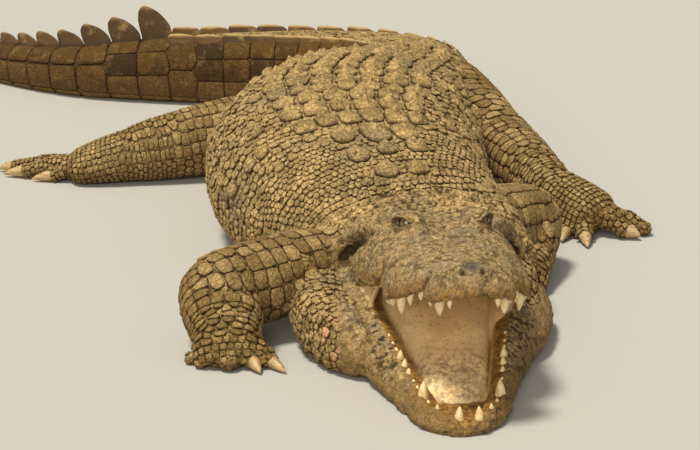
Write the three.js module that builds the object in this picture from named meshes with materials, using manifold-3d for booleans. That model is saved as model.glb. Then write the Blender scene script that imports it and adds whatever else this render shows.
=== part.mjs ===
// A life-size resting mugger crocodile with its mouth open, lying on its belly on a flat floor.
// Millimetres, +Z up. The head points to -Y and the animal's left side is +X.
// The origin is on the flat under the belly. Every piece is a closed solid with a name of its own.
import * as THREE from "three";
import { mergeVertices } from "three/addons/utils/BufferGeometryUtils.js";
import Module from "manifold-3d";

const wasm = await Module();
wasm.setup();

// ---------- Driving dimensions ----------
const GAP = 0.3; // clearance between neighbouring pieces
const JAW_JOINT = new THREE.Vector3(116, -457, 84); // midpoint between the two jaw joints
const SKULL_YAW = THREE.MathUtils.degToRad(6.2); // the head is turned to the animal's left
const JAW_YAW = THREE.MathUtils.degToRad(4.4);
const SKULL_PITCH = THREE.MathUtils.degToRad(12.6); // the snout is lifted
const JOINT_BEHIND_TIP = 500; // jaw joint to snout tip, along the head

const HIDE = new THREE.MeshStandardMaterial({ color: 0x8a7a5c, roughness: 0.85, metalness: 0 });
const MOUTH = new THREE.MeshStandardMaterial({ color: 0xc9a070, roughness: 0.5, metalness: 0 });
const EYE = new THREE.MeshStandardMaterial({ color: 0x6b5a22, roughness: 0.15, metalness: 0 });
const CLAW = new THREE.MeshStandardMaterial({ color: 0xc8b184, roughness: 0.45, metalness: 0 });

// The middle line of neck, trunk and tail, from the back of the skull to the tail's tip.
const SPINE = curveThrough([
  [116, -470, 84],
  [98, -375, 88],
  [58, -275, 95],
  [6, -130, 104],
  [-6, 60, 110],
  [18, 245, 108],
  [63, 390, 105],
  [104, 510, 100],
  [124, 650, 94],
  [108, 790, 86],
  [30, 895, 78],
  [-100, 958, 71],
  [-250, 980, 67],
  [-390, 992, 63],
  [-540, 1024, 54],
  [-652, 1088, 46],
  [-762, 1186, 39],
  [-850, 1320, 31],
  [-915, 1480, 20],
  [-955, 1602, 12],
]);

// Sections of the body along SPINE. at is the distance from the skull, and the others are the half
// width, the heights above and below the line, and how boxy the section is (2 is an ellipse).
const BODY = [
  { at: 0, half: 176, up: 84, down: 90, box: 2.3 },
  { at: 95, half: 182, up: 100, down: 94, box: 2.3 },
  { at: 200, half: 196, up: 132, down: 100, box: 2.3 },
  { at: 355, half: 222, up: 156, down: 110, box: 2.3 },
  { at: 545, half: 234, up: 162, down: 116, box: 2.3 },
  { at: 730, half: 212, up: 152, down: 114, box: 2.35 },
  { at: 885, half: 172, up: 130, down: 110, box: 2.4 },
  { at: 1025, half: 134, up: 112, down: 104, box: 2.5 },
  { at: 1160, half: 112, up: 99, down: 97, box: 2.6 },
  { at: 1325, half: 96, up: 86, down: 88, box: 2.7 },
  { at: 1495, half: 86, up: 78, down: 79, box: 2.8 },
  { at: 1700, half: 75, up: 72, down: 72, box: 2.8 },
  { at: 1920, half: 57, up: 58, down: 62, box: 2.5 },
  { at: 2090, half: 45, up: 45, down: 52, box: 2.4 },
  { at: 2290, half: 34, up: 38, down: 42, box: 2.3 },
  { at: 2490, half: 23, up: 30, down: 34, box: 2.2 },
  { at: 2650, half: 13, up: 20, down: 24, box: 2.1 },
  { at: 2760, half: 5, up: 9, down: 14, box: 2 },
];
// Where the body is divided, as distances along SPINE.
const BODY_PIECES = {
  neck: [0, 205],
  trunk_front: [205 + GAP, 560],
  trunk_rear: [560 + GAP, 985],
  tail_1: [985 + GAP, 1400],
  tail_2: [1400 + GAP, 1830],
  tail_3: [1830 + GAP, 2260],
  tail_4: [2260 + GAP, 2760],
};

// The tail's crest: two rows of upright scutes that meet in one row half way along.
const CREST = { from: 1130, single_from: 1850, to: 2735, pitch: 57, single_pitch: 65, last_pitch: 38 };

// Sections of the upper head, from the snout tip back. half is the half width at the lips, top the
// height of the snout above the tooth line, and lip how far the lip hangs under that line.
const SKULL = [
  { at: 0, half: 44, top: 22, lip: 3 },
  { at: 45, half: 61, top: 38, lip: 5 },
  { at: 80, half: 57, top: 42, lip: -5 },
  { at: 112, half: 80, top: 50, lip: 3 },
  { at: 142, half: 96, top: 56, lip: 9 },
  { at: 175, half: 103, top: 60, lip: 12 },
  { at: 215, half: 100, top: 64, lip: 2 },
  { at: 253, half: 103, top: 69, lip: -3 },
  { at: 300, half: 110, top: 78, lip: 4 },
  { at: 350, half: 115, top: 84, lip: 3 },
  { at: 400, half: 118, top: 85, lip: -4 },
  { at: 450, half: 122, top: 82, lip: -10 },
  { at: 500, half: 124, top: 76, lip: -14 },
];
const SNOUT_ROUND = 40; // length over which the snout's tip rounds off
const PALATE_ARCH = 16; // rise of the palate between the lips

// Sections of the lower jaw, from its tip back. outer is the half width at the floor, row the half
// width at the teeth, rim the height of the teeth's gum, and floor the height of the mouth's floor.
const JAW = [
  { at: 0, outer: 36, row: 24, rim: 20, floor: 12 },
  { at: 41, outer: 60, row: 46, rim: 30, floor: 15 },
  { at: 75, outer: 71, row: 56, rim: 35, floor: 17 },
  { at: 119, outer: 85, row: 64, rim: 40, floor: 19 },
  { at: 175, outer: 102, row: 73, rim: 48, floor: 23 },
  { at: 227, outer: 118, row: 82, rim: 57, floor: 27 },
  { at: 274, outer: 136, row: 90, rim: 67, floor: 33 },
  { at: 320, outer: 158, row: 100, rim: 78, floor: 40 },
  { at: 380, outer: 176, row: 112, rim: 90, floor: 60 },
  { at: 430, outer: 184, row: 124, rim: 98, floor: 88 },
  { at: 475, outer: 184, row: 128, rim: 102, floor: 98 },
];
const JAW_LENGTH = 499; // jaw joint to the tip of the lower jaw
const JAW_ROUND = 34;
// The loose flesh of the throat, that bulges beside the jaw's hinges: more on the animal's right,
// where the turned head folds it.
const JOWLS = [
  { line: [[-28, -440, 60], [-40, -560, 50], [-12, -660, 40], [30, -735, 26]], half: 44, high: 50 },
  { line: [[244, -430, 62], [246, -530, 54], [232, -610, 44], [216, -680, 30]], half: 38, high: 48 },
];

// The tongue fills the lower jaw from behind the front teeth to the throat.
const TONGUE = [
  { at: 70, half: 31, top: 30 },
  { at: 115, half: 40, top: 37 },
  { at: 170, half: 48, top: 44 },
  { at: 240, half: 58, top: 54 },
  { at: 300, half: 67, top: 65 },
  { at: 335, half: 71, top: 76 },
];
const TONGUE_LIFT = 4; // clearance between the tongue and the floor of the mouth

// Teeth as [distance from the tip, length, root radius], the same on both sides.
const UPPER_TEETH = [
  [14, 15, 4.5],
  [27, 9, 3.5],
  [44, 26, 7],
  [60, 12, 4.5],
  [96, 12, 4],
  [114, 15, 4.5],
  [134, 20, 5.5],
  [158, 27, 7],
  [182, 30, 8],
  [208, 17, 5.5],
  [236, 14, 5],
  [264, 15, 5],
  [292, 15, 5],
  [322, 12, 4.5],
];
const LOWER_TEETH = [
  [10, 22, 6.5],
  [34, 11, 4],
  [52, 9, 3.5],
  [72, 29, 7.5],
  [98, 8, 3.5],
  [118, 8, 3.5],
  [140, 12, 4.5],
  [163, 15, 5],
  [186, 18, 6],
  [208, 12, 4.5],
  [232, 9, 4],
  [258, 8, 3.5],
];

const EYE_AT = { behind_tip: 306, out: 51, above_line: 84, radius: 18 };

// Each leg: its joints, with half widths and half heights there, then the foot.
const LEGS = {
  fore_right: {
    joints: [[-50, -462, 92], [-196, -556, 78], [-180, -645, 42]],
    wide: [56, 60, 50],
    high: [56, 58, 38],
    names: ["upper_arm", "forearm", "hand"],
    palm: { to: [-176, -666, 20], half: 50, high: 24 },
    toes: [
      { tip: [-113, -676], base: [-140, -642, 22], thick: 16, claw: 32 },
      { tip: [-140, -682], base: [-156, -645, 23], thick: 17, claw: 26 },
      { tip: [-176, -690], base: [-176, -648, 24], thick: 20, claw: 0 },
      { tip: [-220, -678], base: [-196, -645, 22], thick: 15, claw: 0 },
      { tip: [-238, -658], base: [-204, -636, 20], thick: 12, claw: 0 },
    ],
  },
  fore_left: {
    joints: [[198, -326, 108], [284, -172, 78], [272, -290, 38]],
    wide: [58, 60, 46],
    high: [58, 60, 36],
    names: ["upper_arm", "forearm", "hand"],
    palm: { to: [264, -322, 18], half: 46, high: 23 },
    toes: [
      { tip: [234, -352], base: [246, -308, 20], thick: 15, claw: 26 },
      { tip: [248, -368], base: [256, -312, 21], thick: 16, claw: 25 },
      { tip: [268, -374], base: [266, -313, 21], thick: 15, claw: 23 },
      { tip: [290, -364], base: [278, -310, 20], thick: 13, claw: 0 },
      { tip: [304, -342], base: [286, -302, 18], thick: 12, claw: 0 },
    ],
  },
  hind_right: {
    joints: [[36, 498, 112], [-160, 418, 84], [-388, 356, 52]],
    wide: [84, 64, 48],
    high: [86, 66, 50],
    names: ["thigh", "shank", "foot"],
    palm: { to: [-482, 356, 34], half: 52, high: 38 },
    toes: [
      { tip: [-546, 346], base: [-466, 346, 28], thick: 18, claw: 34 },
      { tip: [-600, 374], base: [-484, 356, 30], thick: 19, claw: 36 },
      { tip: [-622, 410], base: [-486, 370, 30], thick: 18, claw: 30 },
      { tip: [-584, 438], base: [-474, 386, 26], thick: 15, claw: 0 },
    ],
  },
  hind_left: {
    joints: [[176, 500, 112], [256, 300, 92], [342, 78, 60]],
    wide: [78, 60, 42],
    high: [84, 62, 44],
    names: ["thigh", "shank", "foot"],
    palm: { to: [412, 22, 34], half: 56, high: 36 },
    toes: [
      { tip: [364, -16], base: [376, 28, 28], thick: 18, claw: 30 },
      { tip: [396, -42], base: [394, 16, 30], thick: 19, claw: 36 },
      { tip: [470, -16], base: [422, 18, 34], thick: 24, claw: 24 },
      { tip: [506, 0], base: [440, 30, 30], thick: 18, claw: 0 },
    ],
  },
};

// ---------- Helpers ----------
function curveThrough(points) {
  const curve = new THREE.CatmullRomCurve3(points.map((p) => new THREE.Vector3(...p)), false, "centripetal");
  curve.arcLengthDivisions = 800;
  return curve;
}

// The value of a table's column at a distance, with a smooth step between its rows.
function column(table, key, at) {
  const last = table.length - 1;
  if (at <= table[0].at) return table[0][key];
  if (at >= table[last].at) return table[last][key];
  const i = table.findIndex((row) => row.at > at) - 1;
  const slope = (k) => {
    const a = table[Math.max(k - 1, 0)];
    const b = table[Math.min(k + 1, last)];
    return (b[key] - a[key]) / (b.at - a.at);
  };
  const span = table[i + 1].at - table[i].at;
  const t = (at - table[i].at) / span;
  const [p, q] = [table[i][key], table[i + 1][key]];
  const [m, n] = [slope(i) * span, slope(i + 1) * span];
  const t2 = t * t;
  const t3 = t2 * t;
  return p * (2 * t3 - 3 * t2 + 1) + m * (t3 - 2 * t2 + t) + q * (3 * t2 - 2 * t3) + n * (t3 - t2);
}

// A share from 0 to 1 that rises like a quarter ellipse over a length, to round off an end.
function roundOff(distance, length) {
  const t = THREE.MathUtils.clamp(distance / length, 0, 1);
  return Math.sqrt(1 - (1 - t) ** 2);
}

// A closed surface through rings with the same number of points, capped at both ends.
function surfaceThrough(rings) {
  const sides = rings[0].length;
  const places = rings.flat().flatMap((p) => p.toArray());
  const faces = [];
  for (let r = 0; r + 1 < rings.length; r++)
    for (let s = 0; s < sides; s++) {
      const [a, b] = [r * sides + s, r * sides + ((s + 1) % sides)];
      const [c, d] = [a + sides, b + sides];
      faces.push(a, c, b, b, c, d);
    }
  for (const [ring, first] of [[0, true], [rings.length - 1, false]]) {
    const middle = rings[ring].reduce((sum, p) => sum.add(p), new THREE.Vector3()).divideScalar(sides);
    const centre = places.length / 3;
    places.push(...middle.toArray());
    for (let s = 0; s < sides; s++) {
      const [a, b] = [ring * sides + s, ring * sides + ((s + 1) % sides)];
      faces.push(...(first ? [centre, a, b] : [centre, b, a]));
    }
  }
  const geometry = new THREE.BufferGeometry();
  geometry.setAttribute("position", new THREE.Float32BufferAttribute(places, 3));
  geometry.setIndex(faces);
  return geometry;
}

function solidOf(geometry) {
  const bare = geometry.index ? geometry.clone() : mergeVertices(geometry);
  const mesh = {
    numProp: 3,
    vertProperties: new Float32Array(bare.getAttribute("position").array),
    triVerts: new Uint32Array(bare.index.array),
  };
  const made = new wasm.Manifold(new wasm.Mesh(mesh));
  if (made.volume() >= 0) return made;
  const turned = mesh.triVerts.slice();
  for (let i = 0; i < turned.length; i += 3) {
    [turned[i + 1], turned[i + 2]] = [turned[i + 2], turned[i + 1]];
  }
  return new wasm.Manifold(new wasm.Mesh({ ...mesh, triVerts: turned }));
}

function geometryOf(solid) {
  const { vertProperties, triVerts } = solid.getMesh();
  const geometry = new THREE.BufferGeometry();
  geometry.setAttribute("position", new THREE.BufferAttribute(vertProperties, 3));
  geometry.setIndex(new THREE.BufferAttribute(triVerts, 1));
  return geometry;
}

// The part of a solid above the floor, with a flat where it was cut.
const onFloor = (solid) => solid.trimByPlane([0, 0, 1], 0);

// A point of a boxy ellipse at an angle from the side, with its own height above and below.
function sectionPoint(angle, half, up, down, box) {
  const power = (value) => Math.sign(value) * Math.abs(value) ** (2 / box);
  const [c, s] = [power(Math.cos(angle)), power(Math.sin(angle))];
  return [half * c, (s > 0 ? up : down) * s];
}

// Place, sideways direction and upward direction at a distance along a curve, or straight on
// past its ends.
function frameAt(curve, distance) {
  const length = curve.getLength();
  const u = THREE.MathUtils.clamp(distance / length, 0, 1);
  const along = curve.getTangentAt(u);
  const side = along.clone().cross(new THREE.Vector3(0, 0, 1)).normalize();
  const place = curve.getPointAt(u).addScaledVector(along, distance - u * length);
  return { place, side, rise: side.clone().cross(along) };
}

// A solid swept along a curve. size(distance) gives { half, up, down, box }, and grow moves the
// two ends outwards.
function sweep(curve, from, to, rings, sides, size, grow = 0) {
  const made = [];
  for (let r = 0; r <= rings; r++) {
    const distance = from + ((to - from) * r) / rings;
    const { place, side, rise } = frameAt(curve, distance + (r === 0 ? -grow : r === rings ? grow : 0));
    const { half, up, down, box } = size(distance);
    const ring = [];
    for (let s = 0; s < sides; s++) {
      const [x, z] = sectionPoint((2 * Math.PI * s) / sides, half, up, down, box);
      ring.push(place.clone().addScaledVector(side, x).addScaledVector(rise, z));
    }
    made.push(ring);
  }
  return solidOf(surfaceThrough(made));
}

// ---------- Neck, trunk and tail ----------
const bodySize = (grow) => (at) => ({
  half: column(BODY, "half", at) + grow,
  up: column(BODY, "up", at) + grow,
  down: column(BODY, "down", at) + grow,
  box: column(BODY, "box", at),
});

function bodyPiece(from, to, grow = 0) {
  const spacing = from < 985 ? 60 : 80;
  const sides = from < 985 ? 20 : from < 1830 ? 14 : 10;
  return sweep(SPINE, from, to, Math.ceil((to - from) / spacing), sides, bodySize(grow), grow);
}

// One upright scute of the crest: a thin blade that leans back, with its foot sunk in the tail.
function crestScute(at, sideways, height, length, thick) {
  const { place, side, rise } = frameAt(SPINE, at);
  const back = side.clone().cross(rise).negate();
  const sunk = 12;
  const outward = sideways / column(BODY, "half", at);
  const top = column(BODY, "up", at) * Math.sqrt(Math.max(0.2, 1 - outward ** 2));
  const middle = place.clone().addScaledVector(side, sideways).addScaledVector(rise, top);
  const point = (x, y, z) =>
    middle.clone().addScaledVector(side, x).addScaledVector(back, y).addScaledVector(rise, z);
  const outline = [[-0.5, -sunk], [0.48, -sunk], [0.6, height]];
  const ring = (x) => outline.map(([y, z]) => point(x, y * length, z));
  return solidOf(surfaceThrough([ring(-thick / 2), ring(thick / 2)]));
}

// All the crest scutes whose middle lies between two distances.
function crestBetween(from, to) {
  const found = [];
  let at = CREST.from;
  while (at < CREST.to) {
    const single = at >= CREST.single_from;
    const [first, last] = single ? [CREST.single_from, CREST.to] : [CREST.from, CREST.single_from];
    const share = (at - first) / (last - first);
    const pitch = single ? THREE.MathUtils.lerp(CREST.single_pitch, CREST.last_pitch, share) : CREST.pitch;
    if (at > from + 0.5 * pitch && at < to - 0.5 * pitch) {
      if (single) {
        found.push(crestScute(at, 0, 20 + 62 * (1 - share) ** 5, pitch * 0.98, 13));
      } else {
        const out = column(BODY, "half", at) * THREE.MathUtils.lerp(0.66, 0.5, share ** 3);
        const height = THREE.MathUtils.lerp(10, 34, share);
        for (const sideways of [out, -out]) {
          found.push(crestScute(at, sideways, height, pitch * 0.98, 12));
        }
      }
    }
    at += pitch;
  }
  return found;
}

// ---------- Head ----------
// From the head's own frame, with its tip at y = 0 and the tooth line at z = 0, to the animal's.
function headMatrix(yaw, pitch, jointBehindTip, jointHeight) {
  return new THREE.Matrix4()
    .makeTranslation(JAW_JOINT)
    .multiply(new THREE.Matrix4().makeRotationZ(yaw))
    .multiply(new THREE.Matrix4().makeRotationX(-pitch))
    .multiply(new THREE.Matrix4().makeTranslation(0, -jointBehindTip, -jointHeight));
}
const UPPER = headMatrix(SKULL_YAW, SKULL_PITCH, JOINT_BEHIND_TIP, 0);
const LOWER = headMatrix(JAW_YAW, 0, JAW_LENGTH, JAW_JOINT.z);

// Distances of the rings, closer together over the rounded tip.
function ringPlaces(length, round, rings) {
  const places = [1, 12];
  for (let r = 0; r <= rings; r++) places.push(round + ((length - round) * r) / rings);
  return places;
}

function upperHead() {
  const rings = ringPlaces(JOINT_BEHIND_TIP - 12, SNOUT_ROUND, 11).map((at) => {
    const round = roundOff(at, SNOUT_ROUND);
    const half = column(SKULL, "half", at) * round;
    const top = column(SKULL, "top", at) * (0.35 + 0.65 * round);
    const lip = -column(SKULL, "lip", at);
    const ring = [];
    for (let s = 0; s <= 8; s++) {
      const [x, z] = sectionPoint((Math.PI * s) / 8, half, top - lip, 0, 2.7);
      ring.push(new THREE.Vector3(x, at, lip + z).applyMatrix4(UPPER));
    }
    for (let s = 1; s < 4; s++) {
      const x = -half * (1 - s / 2) * 0.9;
      const arch = PALATE_ARCH * round * (1 - (x / half) ** 2);
      ring.push(new THREE.Vector3(x, at, lip + arch).applyMatrix4(UPPER));
    }
    return ring;
  });
  return solidOf(surfaceThrough(rings));
}

// The raised rim round each eye socket, and the ear flap's ridge behind it.
function brow(sideways) {
  const ridge = curveThrough([
    [sideways * 34, 256, 66],
    [sideways * 39, 292, 80],
    [sideways * 43, 335, 86],
    [sideways * 54, 395, 82],
    [sideways * 64, 450, 74],
  ]);
  const length = ridge.getLength();
  const size = (at) => {
    const swell = roundOff(at, 60) * roundOff(length - at, 60);
    const eye = Math.exp(-(((at - 62) / 34) ** 2));
    return { half: 4 + (14 + 2 * eye) * swell, up: 3 + (11 + 6 * eye) * swell, down: 20, box: 2.2 };
  };
  return solidOf(geometryOf(sweep(ridge, 0, length, 6, 7, size)).applyMatrix4(UPPER));
}

// The nostrils' raised disc near the snout's tip.
function noseDisc() {
  const middle = curveThrough([[0, 16, 24], [0, 38, 35], [0, 78, 38]]);
  const length = middle.getLength();
  const size = (at) => {
    const swell = roundOff(at, 26) * roundOff(length - at, 34);
    return { half: 5 + 24 * swell, up: 3 + 10 * swell, down: 12, box: 2.2 };
  };
  return solidOf(geometryOf(sweep(middle, 0, length, 4, 6, size)).applyMatrix4(UPPER));
}

// The cheek: flesh over the jaw's hinge, behind the corner of the mouth.
function cheek(sideways) {
  const line = curveThrough([[sideways * 86, 372, 12], [sideways * 90, 425, 4], [sideways * 90, 490, -4]]);
  const length = line.getLength();
  const size = (at) => {
    const swell = roundOff(at, 50) * roundOff(length - at + 20, 60);
    return { half: 6 + 36 * swell, up: 4 + 34 * swell, down: 4 + 30 * swell, box: 2.2 };
  };
  return solidOf(geometryOf(sweep(line, 0, length, 4, 7, size)).applyMatrix4(UPPER));
}

function jowl({ line, half, high }) {
  const curve = curveThrough(line);
  const length = curve.getLength();
  const size = (at) => {
    const swell = roundOff(at + 40, 90) * roundOff(length - at + 8, 150);
    return { half: half * swell, up: high * swell, down: high * swell, box: 2.2 };
  };
  return sweep(curve, 0, length, 4, 8, size);
}

function lowerJaw(grow = 0) {
  const rings = ringPlaces(JAW_LENGTH - 30, JAW_ROUND, 11).map((at) => {
    const round = roundOff(at, JAW_ROUND);
    const outer = (column(JAW, "outer", at) + grow) * round;
    const row = (column(JAW, "row", at) + grow) * round;
    const rim = column(JAW, "rim", at) * (0.6 + 0.4 * round) + grow;
    const floor = column(JAW, "floor", at) + grow;
    const gum = row - 16 * round - 2 * grow;
    const half = [
      [gum * 0.92, floor],
      [gum, rim - 2],
      [row, rim],
      [row + 0.45 * (outer - row), rim * 0.85],
      [outer, rim * 0.4],
      [outer * 0.9, 2],
      [outer * 0.75, -3],
    ];
    const ring = [[0, floor], ...half, [0, -3], ...half.map(([x, z]) => [-x, z]).reverse()];
    return ring.map(([x, z]) => new THREE.Vector3(x, at, z).applyMatrix4(LOWER));
  });
  return solidOf(surfaceThrough(rings));
}

function tongue() {
  const [first, last] = [TONGUE[0].at, TONGUE[TONGUE.length - 1].at];
  const rings = [0, 3, 12, 34, 75, 115, 160, 205, 240, last - first].map((step) => {
    const at = first + step;
    const round = roundOff(step, 34);
    const half = column(TONGUE, "half", at) * (0.25 + 0.75 * round);
    const floor = column(JAW, "floor", at) + TONGUE_LIFT;
    const top = floor + (column(TONGUE, "top", at) - floor) * (0.3 + 0.7 * round);
    const ring = [];
    for (let s = 0; s <= 8; s++) {
      const [x, z] = sectionPoint((Math.PI * s) / 8, half, top - floor, 0, 3);
      ring.push(new THREE.Vector3(x, at, floor + z).applyMatrix4(LOWER));
    }
    return ring;
  });
  return solidOf(surfaceThrough(rings));
}

// A curved, pointed tooth or claw that starts at a place, points one way and bends towards another.
function spike(place, along, bend, length, radius, sides, shares) {
  const side = along.clone().cross(bend).normalize();
  const rings = [];
  for (const share of shares) {
    const width = radius * Math.sqrt(Math.max(0.02, 1 - Math.max(share, 0) ** 1.6));
    const middle = place.clone().addScaledVector(along, length * share);
    middle.addScaledVector(bend, length * 0.3 * Math.max(share, 0) ** 2);
    const ring = [];
    for (let s = 0; s < sides; s++) {
      const angle = (2 * Math.PI * s) / sides;
      const across = middle.clone().addScaledVector(side, width * Math.cos(angle));
      ring.push(across.addScaledVector(bend, width * Math.sin(angle)));
    }
    rings.push(ring);
  }
  return solidOf(surfaceThrough(rings));
}

// One tooth on each side, rooted in the gum of the upper or the lower jaw.
function teeth(rows, upper) {
  const matrix = upper ? UPPER : LOWER;
  const turn = new THREE.Matrix3().setFromMatrix4(matrix);
  return rows.flatMap(([at, length, radius]) =>
    [1, -1].map((sideways) => {
      const round = roundOff(at, upper ? SNOUT_ROUND : JAW_ROUND);
      const out = upper
        ? column(SKULL, "half", at) * round - radius - 3
        : column(JAW, "row", at) * round - 7;
      const height = upper
        ? -column(SKULL, "lip", at)
        : column(JAW, "rim", at) * (0.6 + 0.4 * round) - 2;
      const behind = at + (upper ? radius : 2);
      const place = new THREE.Vector3(sideways * out, behind, height).applyMatrix4(matrix);
      const along = new THREE.Vector3(sideways * 0.12, 0, upper ? -1 : 1).normalize().applyMatrix3(turn);
      const inward = new THREE.Vector3(-sideways, 0.4, 0).normalize().applyMatrix3(turn);
      const bend = inward.addScaledVector(along, -inward.dot(along)).normalize();
      return spike(place, along, bend, length, radius, 4, [-0.2, 1]);
    }),
  );
}

function eyeball(sideways, grow = 0) {
  const ball = new THREE.SphereGeometry(EYE_AT.radius + grow, 8, 6);
  ball.deleteAttribute("normal").deleteAttribute("uv");
  ball.translate(sideways * EYE_AT.out, EYE_AT.behind_tip, EYE_AT.above_line);
  return solidOf(mergeVertices(ball).applyMatrix4(UPPER));
}

// ---------- Legs ----------
// A limb's length between two joints, as a swept solid with rounded ends.
function limb(a, b, wideA, wideB, highA, highB, rings, grow = 0) {
  const [from, to] = [new THREE.Vector3(...a), new THREE.Vector3(...b)];
  const along = to.clone().sub(from).normalize();
  const [endA, endB] = [Math.min(wideA, highA) * 0.8, Math.min(wideB, highB) * 0.8];
  const line = curveThrough([
    from.clone().addScaledVector(along, -endA).toArray(),
    from.toArray(),
    to.toArray(),
    to.clone().addScaledVector(along, endB).toArray(),
  ]);
  const length = line.getLength();
  const made = [];
  for (let r = 0; r <= rings; r++) {
    const share = (1 - Math.cos((Math.PI * (r + 0.25)) / (rings + 0.5))) / 2;
    const distance = share * length;
    const { place, side, rise } = frameAt(line, distance + (r === 0 ? -grow : r === rings ? grow : 0));
    const t = THREE.MathUtils.clamp((distance - endA) / (length - endA - endB), 0, 1);
    const round = Math.min(roundOff(distance, endA * 1.2), roundOff(length - distance, endB * 1.2));
    const swell = 1 + 0.07 * Math.sin(Math.PI * t);
    const half = THREE.MathUtils.lerp(wideA, wideB, t) * round * swell + grow;
    const high = THREE.MathUtils.lerp(highA, highB, t) * round * swell + grow;
    const ring = [];
    for (let s = 0; s < 9; s++) {
      const [x, z] = sectionPoint((2 * Math.PI * s) / 9, half, high, high, 2.2);
      ring.push(place.clone().addScaledVector(side, x).addScaledVector(rise, z));
    }
    made.push(ring);
  }
  return solidOf(surfaceThrough(made));
}

// The middle of a toe's end, as high as lets its pad press on the floor.
const toeEnd = ({ tip, thick }) => new THREE.Vector3(...tip, 0.56 * thick);

// A toe from the palm to its claw, arched over the floor, with a flat end where the claw starts.
function toe({ base, tip, thick }) {
  const [from, to] = [new THREE.Vector3(...base), toeEnd({ tip, thick })];
  const knuckle = from.clone().lerp(to, 0.55).add(new THREE.Vector3(0, 0, 0.28 * thick));
  const line = curveThrough([from.toArray(), knuckle.toArray(), to.toArray()]);
  const size = (at) => {
    const t = at / line.getLength();
    const joint = 1 + 0.1 * Math.cos(t * Math.PI * 4);
    const radius = thick * THREE.MathUtils.lerp(1.05, 0.68, t) * joint;
    return { half: radius, up: radius * 0.85, down: radius * 0.9, box: 2.1 };
  };
  return sweep(line, 0, line.getLength(), 3, 5, size);
}

function clawOf({ base, tip, thick, claw }) {
  const end = toeEnd({ tip, thick });
  const along = end.clone().sub(new THREE.Vector3(...base)).setZ(-3).normalize();
  const place = end.add(new THREE.Vector3(0, 0, 2));
  const down = new THREE.Vector3(0, 0, -1);
  const bend = down.addScaledVector(along, -down.dot(along)).normalize();
  return spike(place, along, bend, claw, thick * 0.52, 5, [-0.2, 0.45, 1]);
}

// ---------- Assembly ----------
const root = new THREE.Group();
const addPiece = (name, solid, material) => {
  const mesh = new THREE.Mesh(geometryOf(solid), material);
  mesh.name = name;
  root.add(mesh);
  return solid;
};
const union = (solids) => solids.reduce((a, b) => a.add(b));
const cutBy = (solid, tools) => tools.reduce((left, tool) => left.subtract(tool), solid);
const largest = (solid) => solid.decompose().reduce((a, b) => (a.volume() > b.volume() ? a : b));

for (const [name, [from, to]] of Object.entries(BODY_PIECES)) {
  const core = bodyPiece(from, to);
  const crest = name.startsWith("tail") ? crestBetween(from, to) : [];
  addPiece(name, onFloor(union([core, ...crest])), HIDE);
}
const bodyTools = Object.values(BODY_PIECES).slice(0, 4).map(([from, to]) => bodyPiece(from, to, GAP));

const eyes = { left: eyeball(1), right: eyeball(-1) };
const eyeTools = [eyeball(1, GAP), eyeball(-1, GAP)];
const jaw = cutBy(union([lowerJaw(), ...JOWLS.map(jowl), ...teeth(LOWER_TEETH, false)]), [bodyTools[0]]);
addPiece("lower_jaw", onFloor(largest(jaw)), HIDE);
const jawTools = [
  lowerJaw(4 * GAP),
  ...JOWLS.map((each) => jowl({ ...each, half: each.half + 4 * GAP, high: each.high + 4 * GAP })),
];
addPiece("tongue", largest(cutBy(tongue(), [bodyTools[0]])), MOUTH);
const brows = [brow(1), brow(-1)];
const cheeks = [cheek(1), cheek(-1)];
const skull = union([upperHead(), ...brows, noseDisc(), ...cheeks, ...teeth(UPPER_TEETH, true)]);
addPiece("head", largest(cutBy(skull, [bodyTools[0], ...jawTools, ...eyeTools])), HIDE);
addPiece("eye_left", eyes.left, EYE);
addPiece("eye_right", eyes.right, EYE);

for (const [leg, { joints, wide, high, names, palm, toes }] of Object.entries(LEGS)) {
  const upper = (grow) => limb(joints[0], joints[1], wide[0], wide[1], high[0], high[1], 6, grow);
  const lower = (grow) => limb(joints[1], joints[2], wide[1], wide[2], high[1], high[2], 5, grow);
  const palmSolid = limb(joints[2], palm.to, wide[2] * 0.95, palm.half, high[2] * 0.9, palm.high, 4);
  const foot = union([palmSolid, ...toes.map(toe)]);
  const side = leg.endsWith("left") ? "left" : "right";
  const label = (piece) => `${piece}_${side}`;
  const around = [...bodyTools, ...jawTools];
  const free = (solid, tools) => largest(onFloor(cutBy(solid, tools)));
  addPiece(label(names[0]), free(upper(0), around), HIDE);
  addPiece(label(names[1]), free(lower(0), [upper(GAP), ...bodyTools]), HIDE);
  addPiece(label(names[2]), free(foot, [lower(GAP), upper(GAP), ...around]), HIDE);
  toes.forEach((each, i) => {
    if (!each.claw) return;
    const claw = cutBy(clawOf(each), [foot, toe({ ...each, thick: each.thick + 3 * GAP })]);
    addPiece(`claw_${leg}_${i + 1}`, largest(onFloor(claw)), CLAW);
  });
}

export default root;
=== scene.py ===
"""A resting mugger crocodile with open jaws: one skin, its scutes, teeth, eyes and claws.

Lengths are in millimetres until a mesh is made. +Z is up, the head points to -Y and the animal's
left is +X, as in the frame.
"""

import math

import bmesh
import bpy
import numpy as np
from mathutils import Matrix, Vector
from mathutils.bvhtree import BVHTree
from mathutils.kdtree import KDTree


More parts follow.
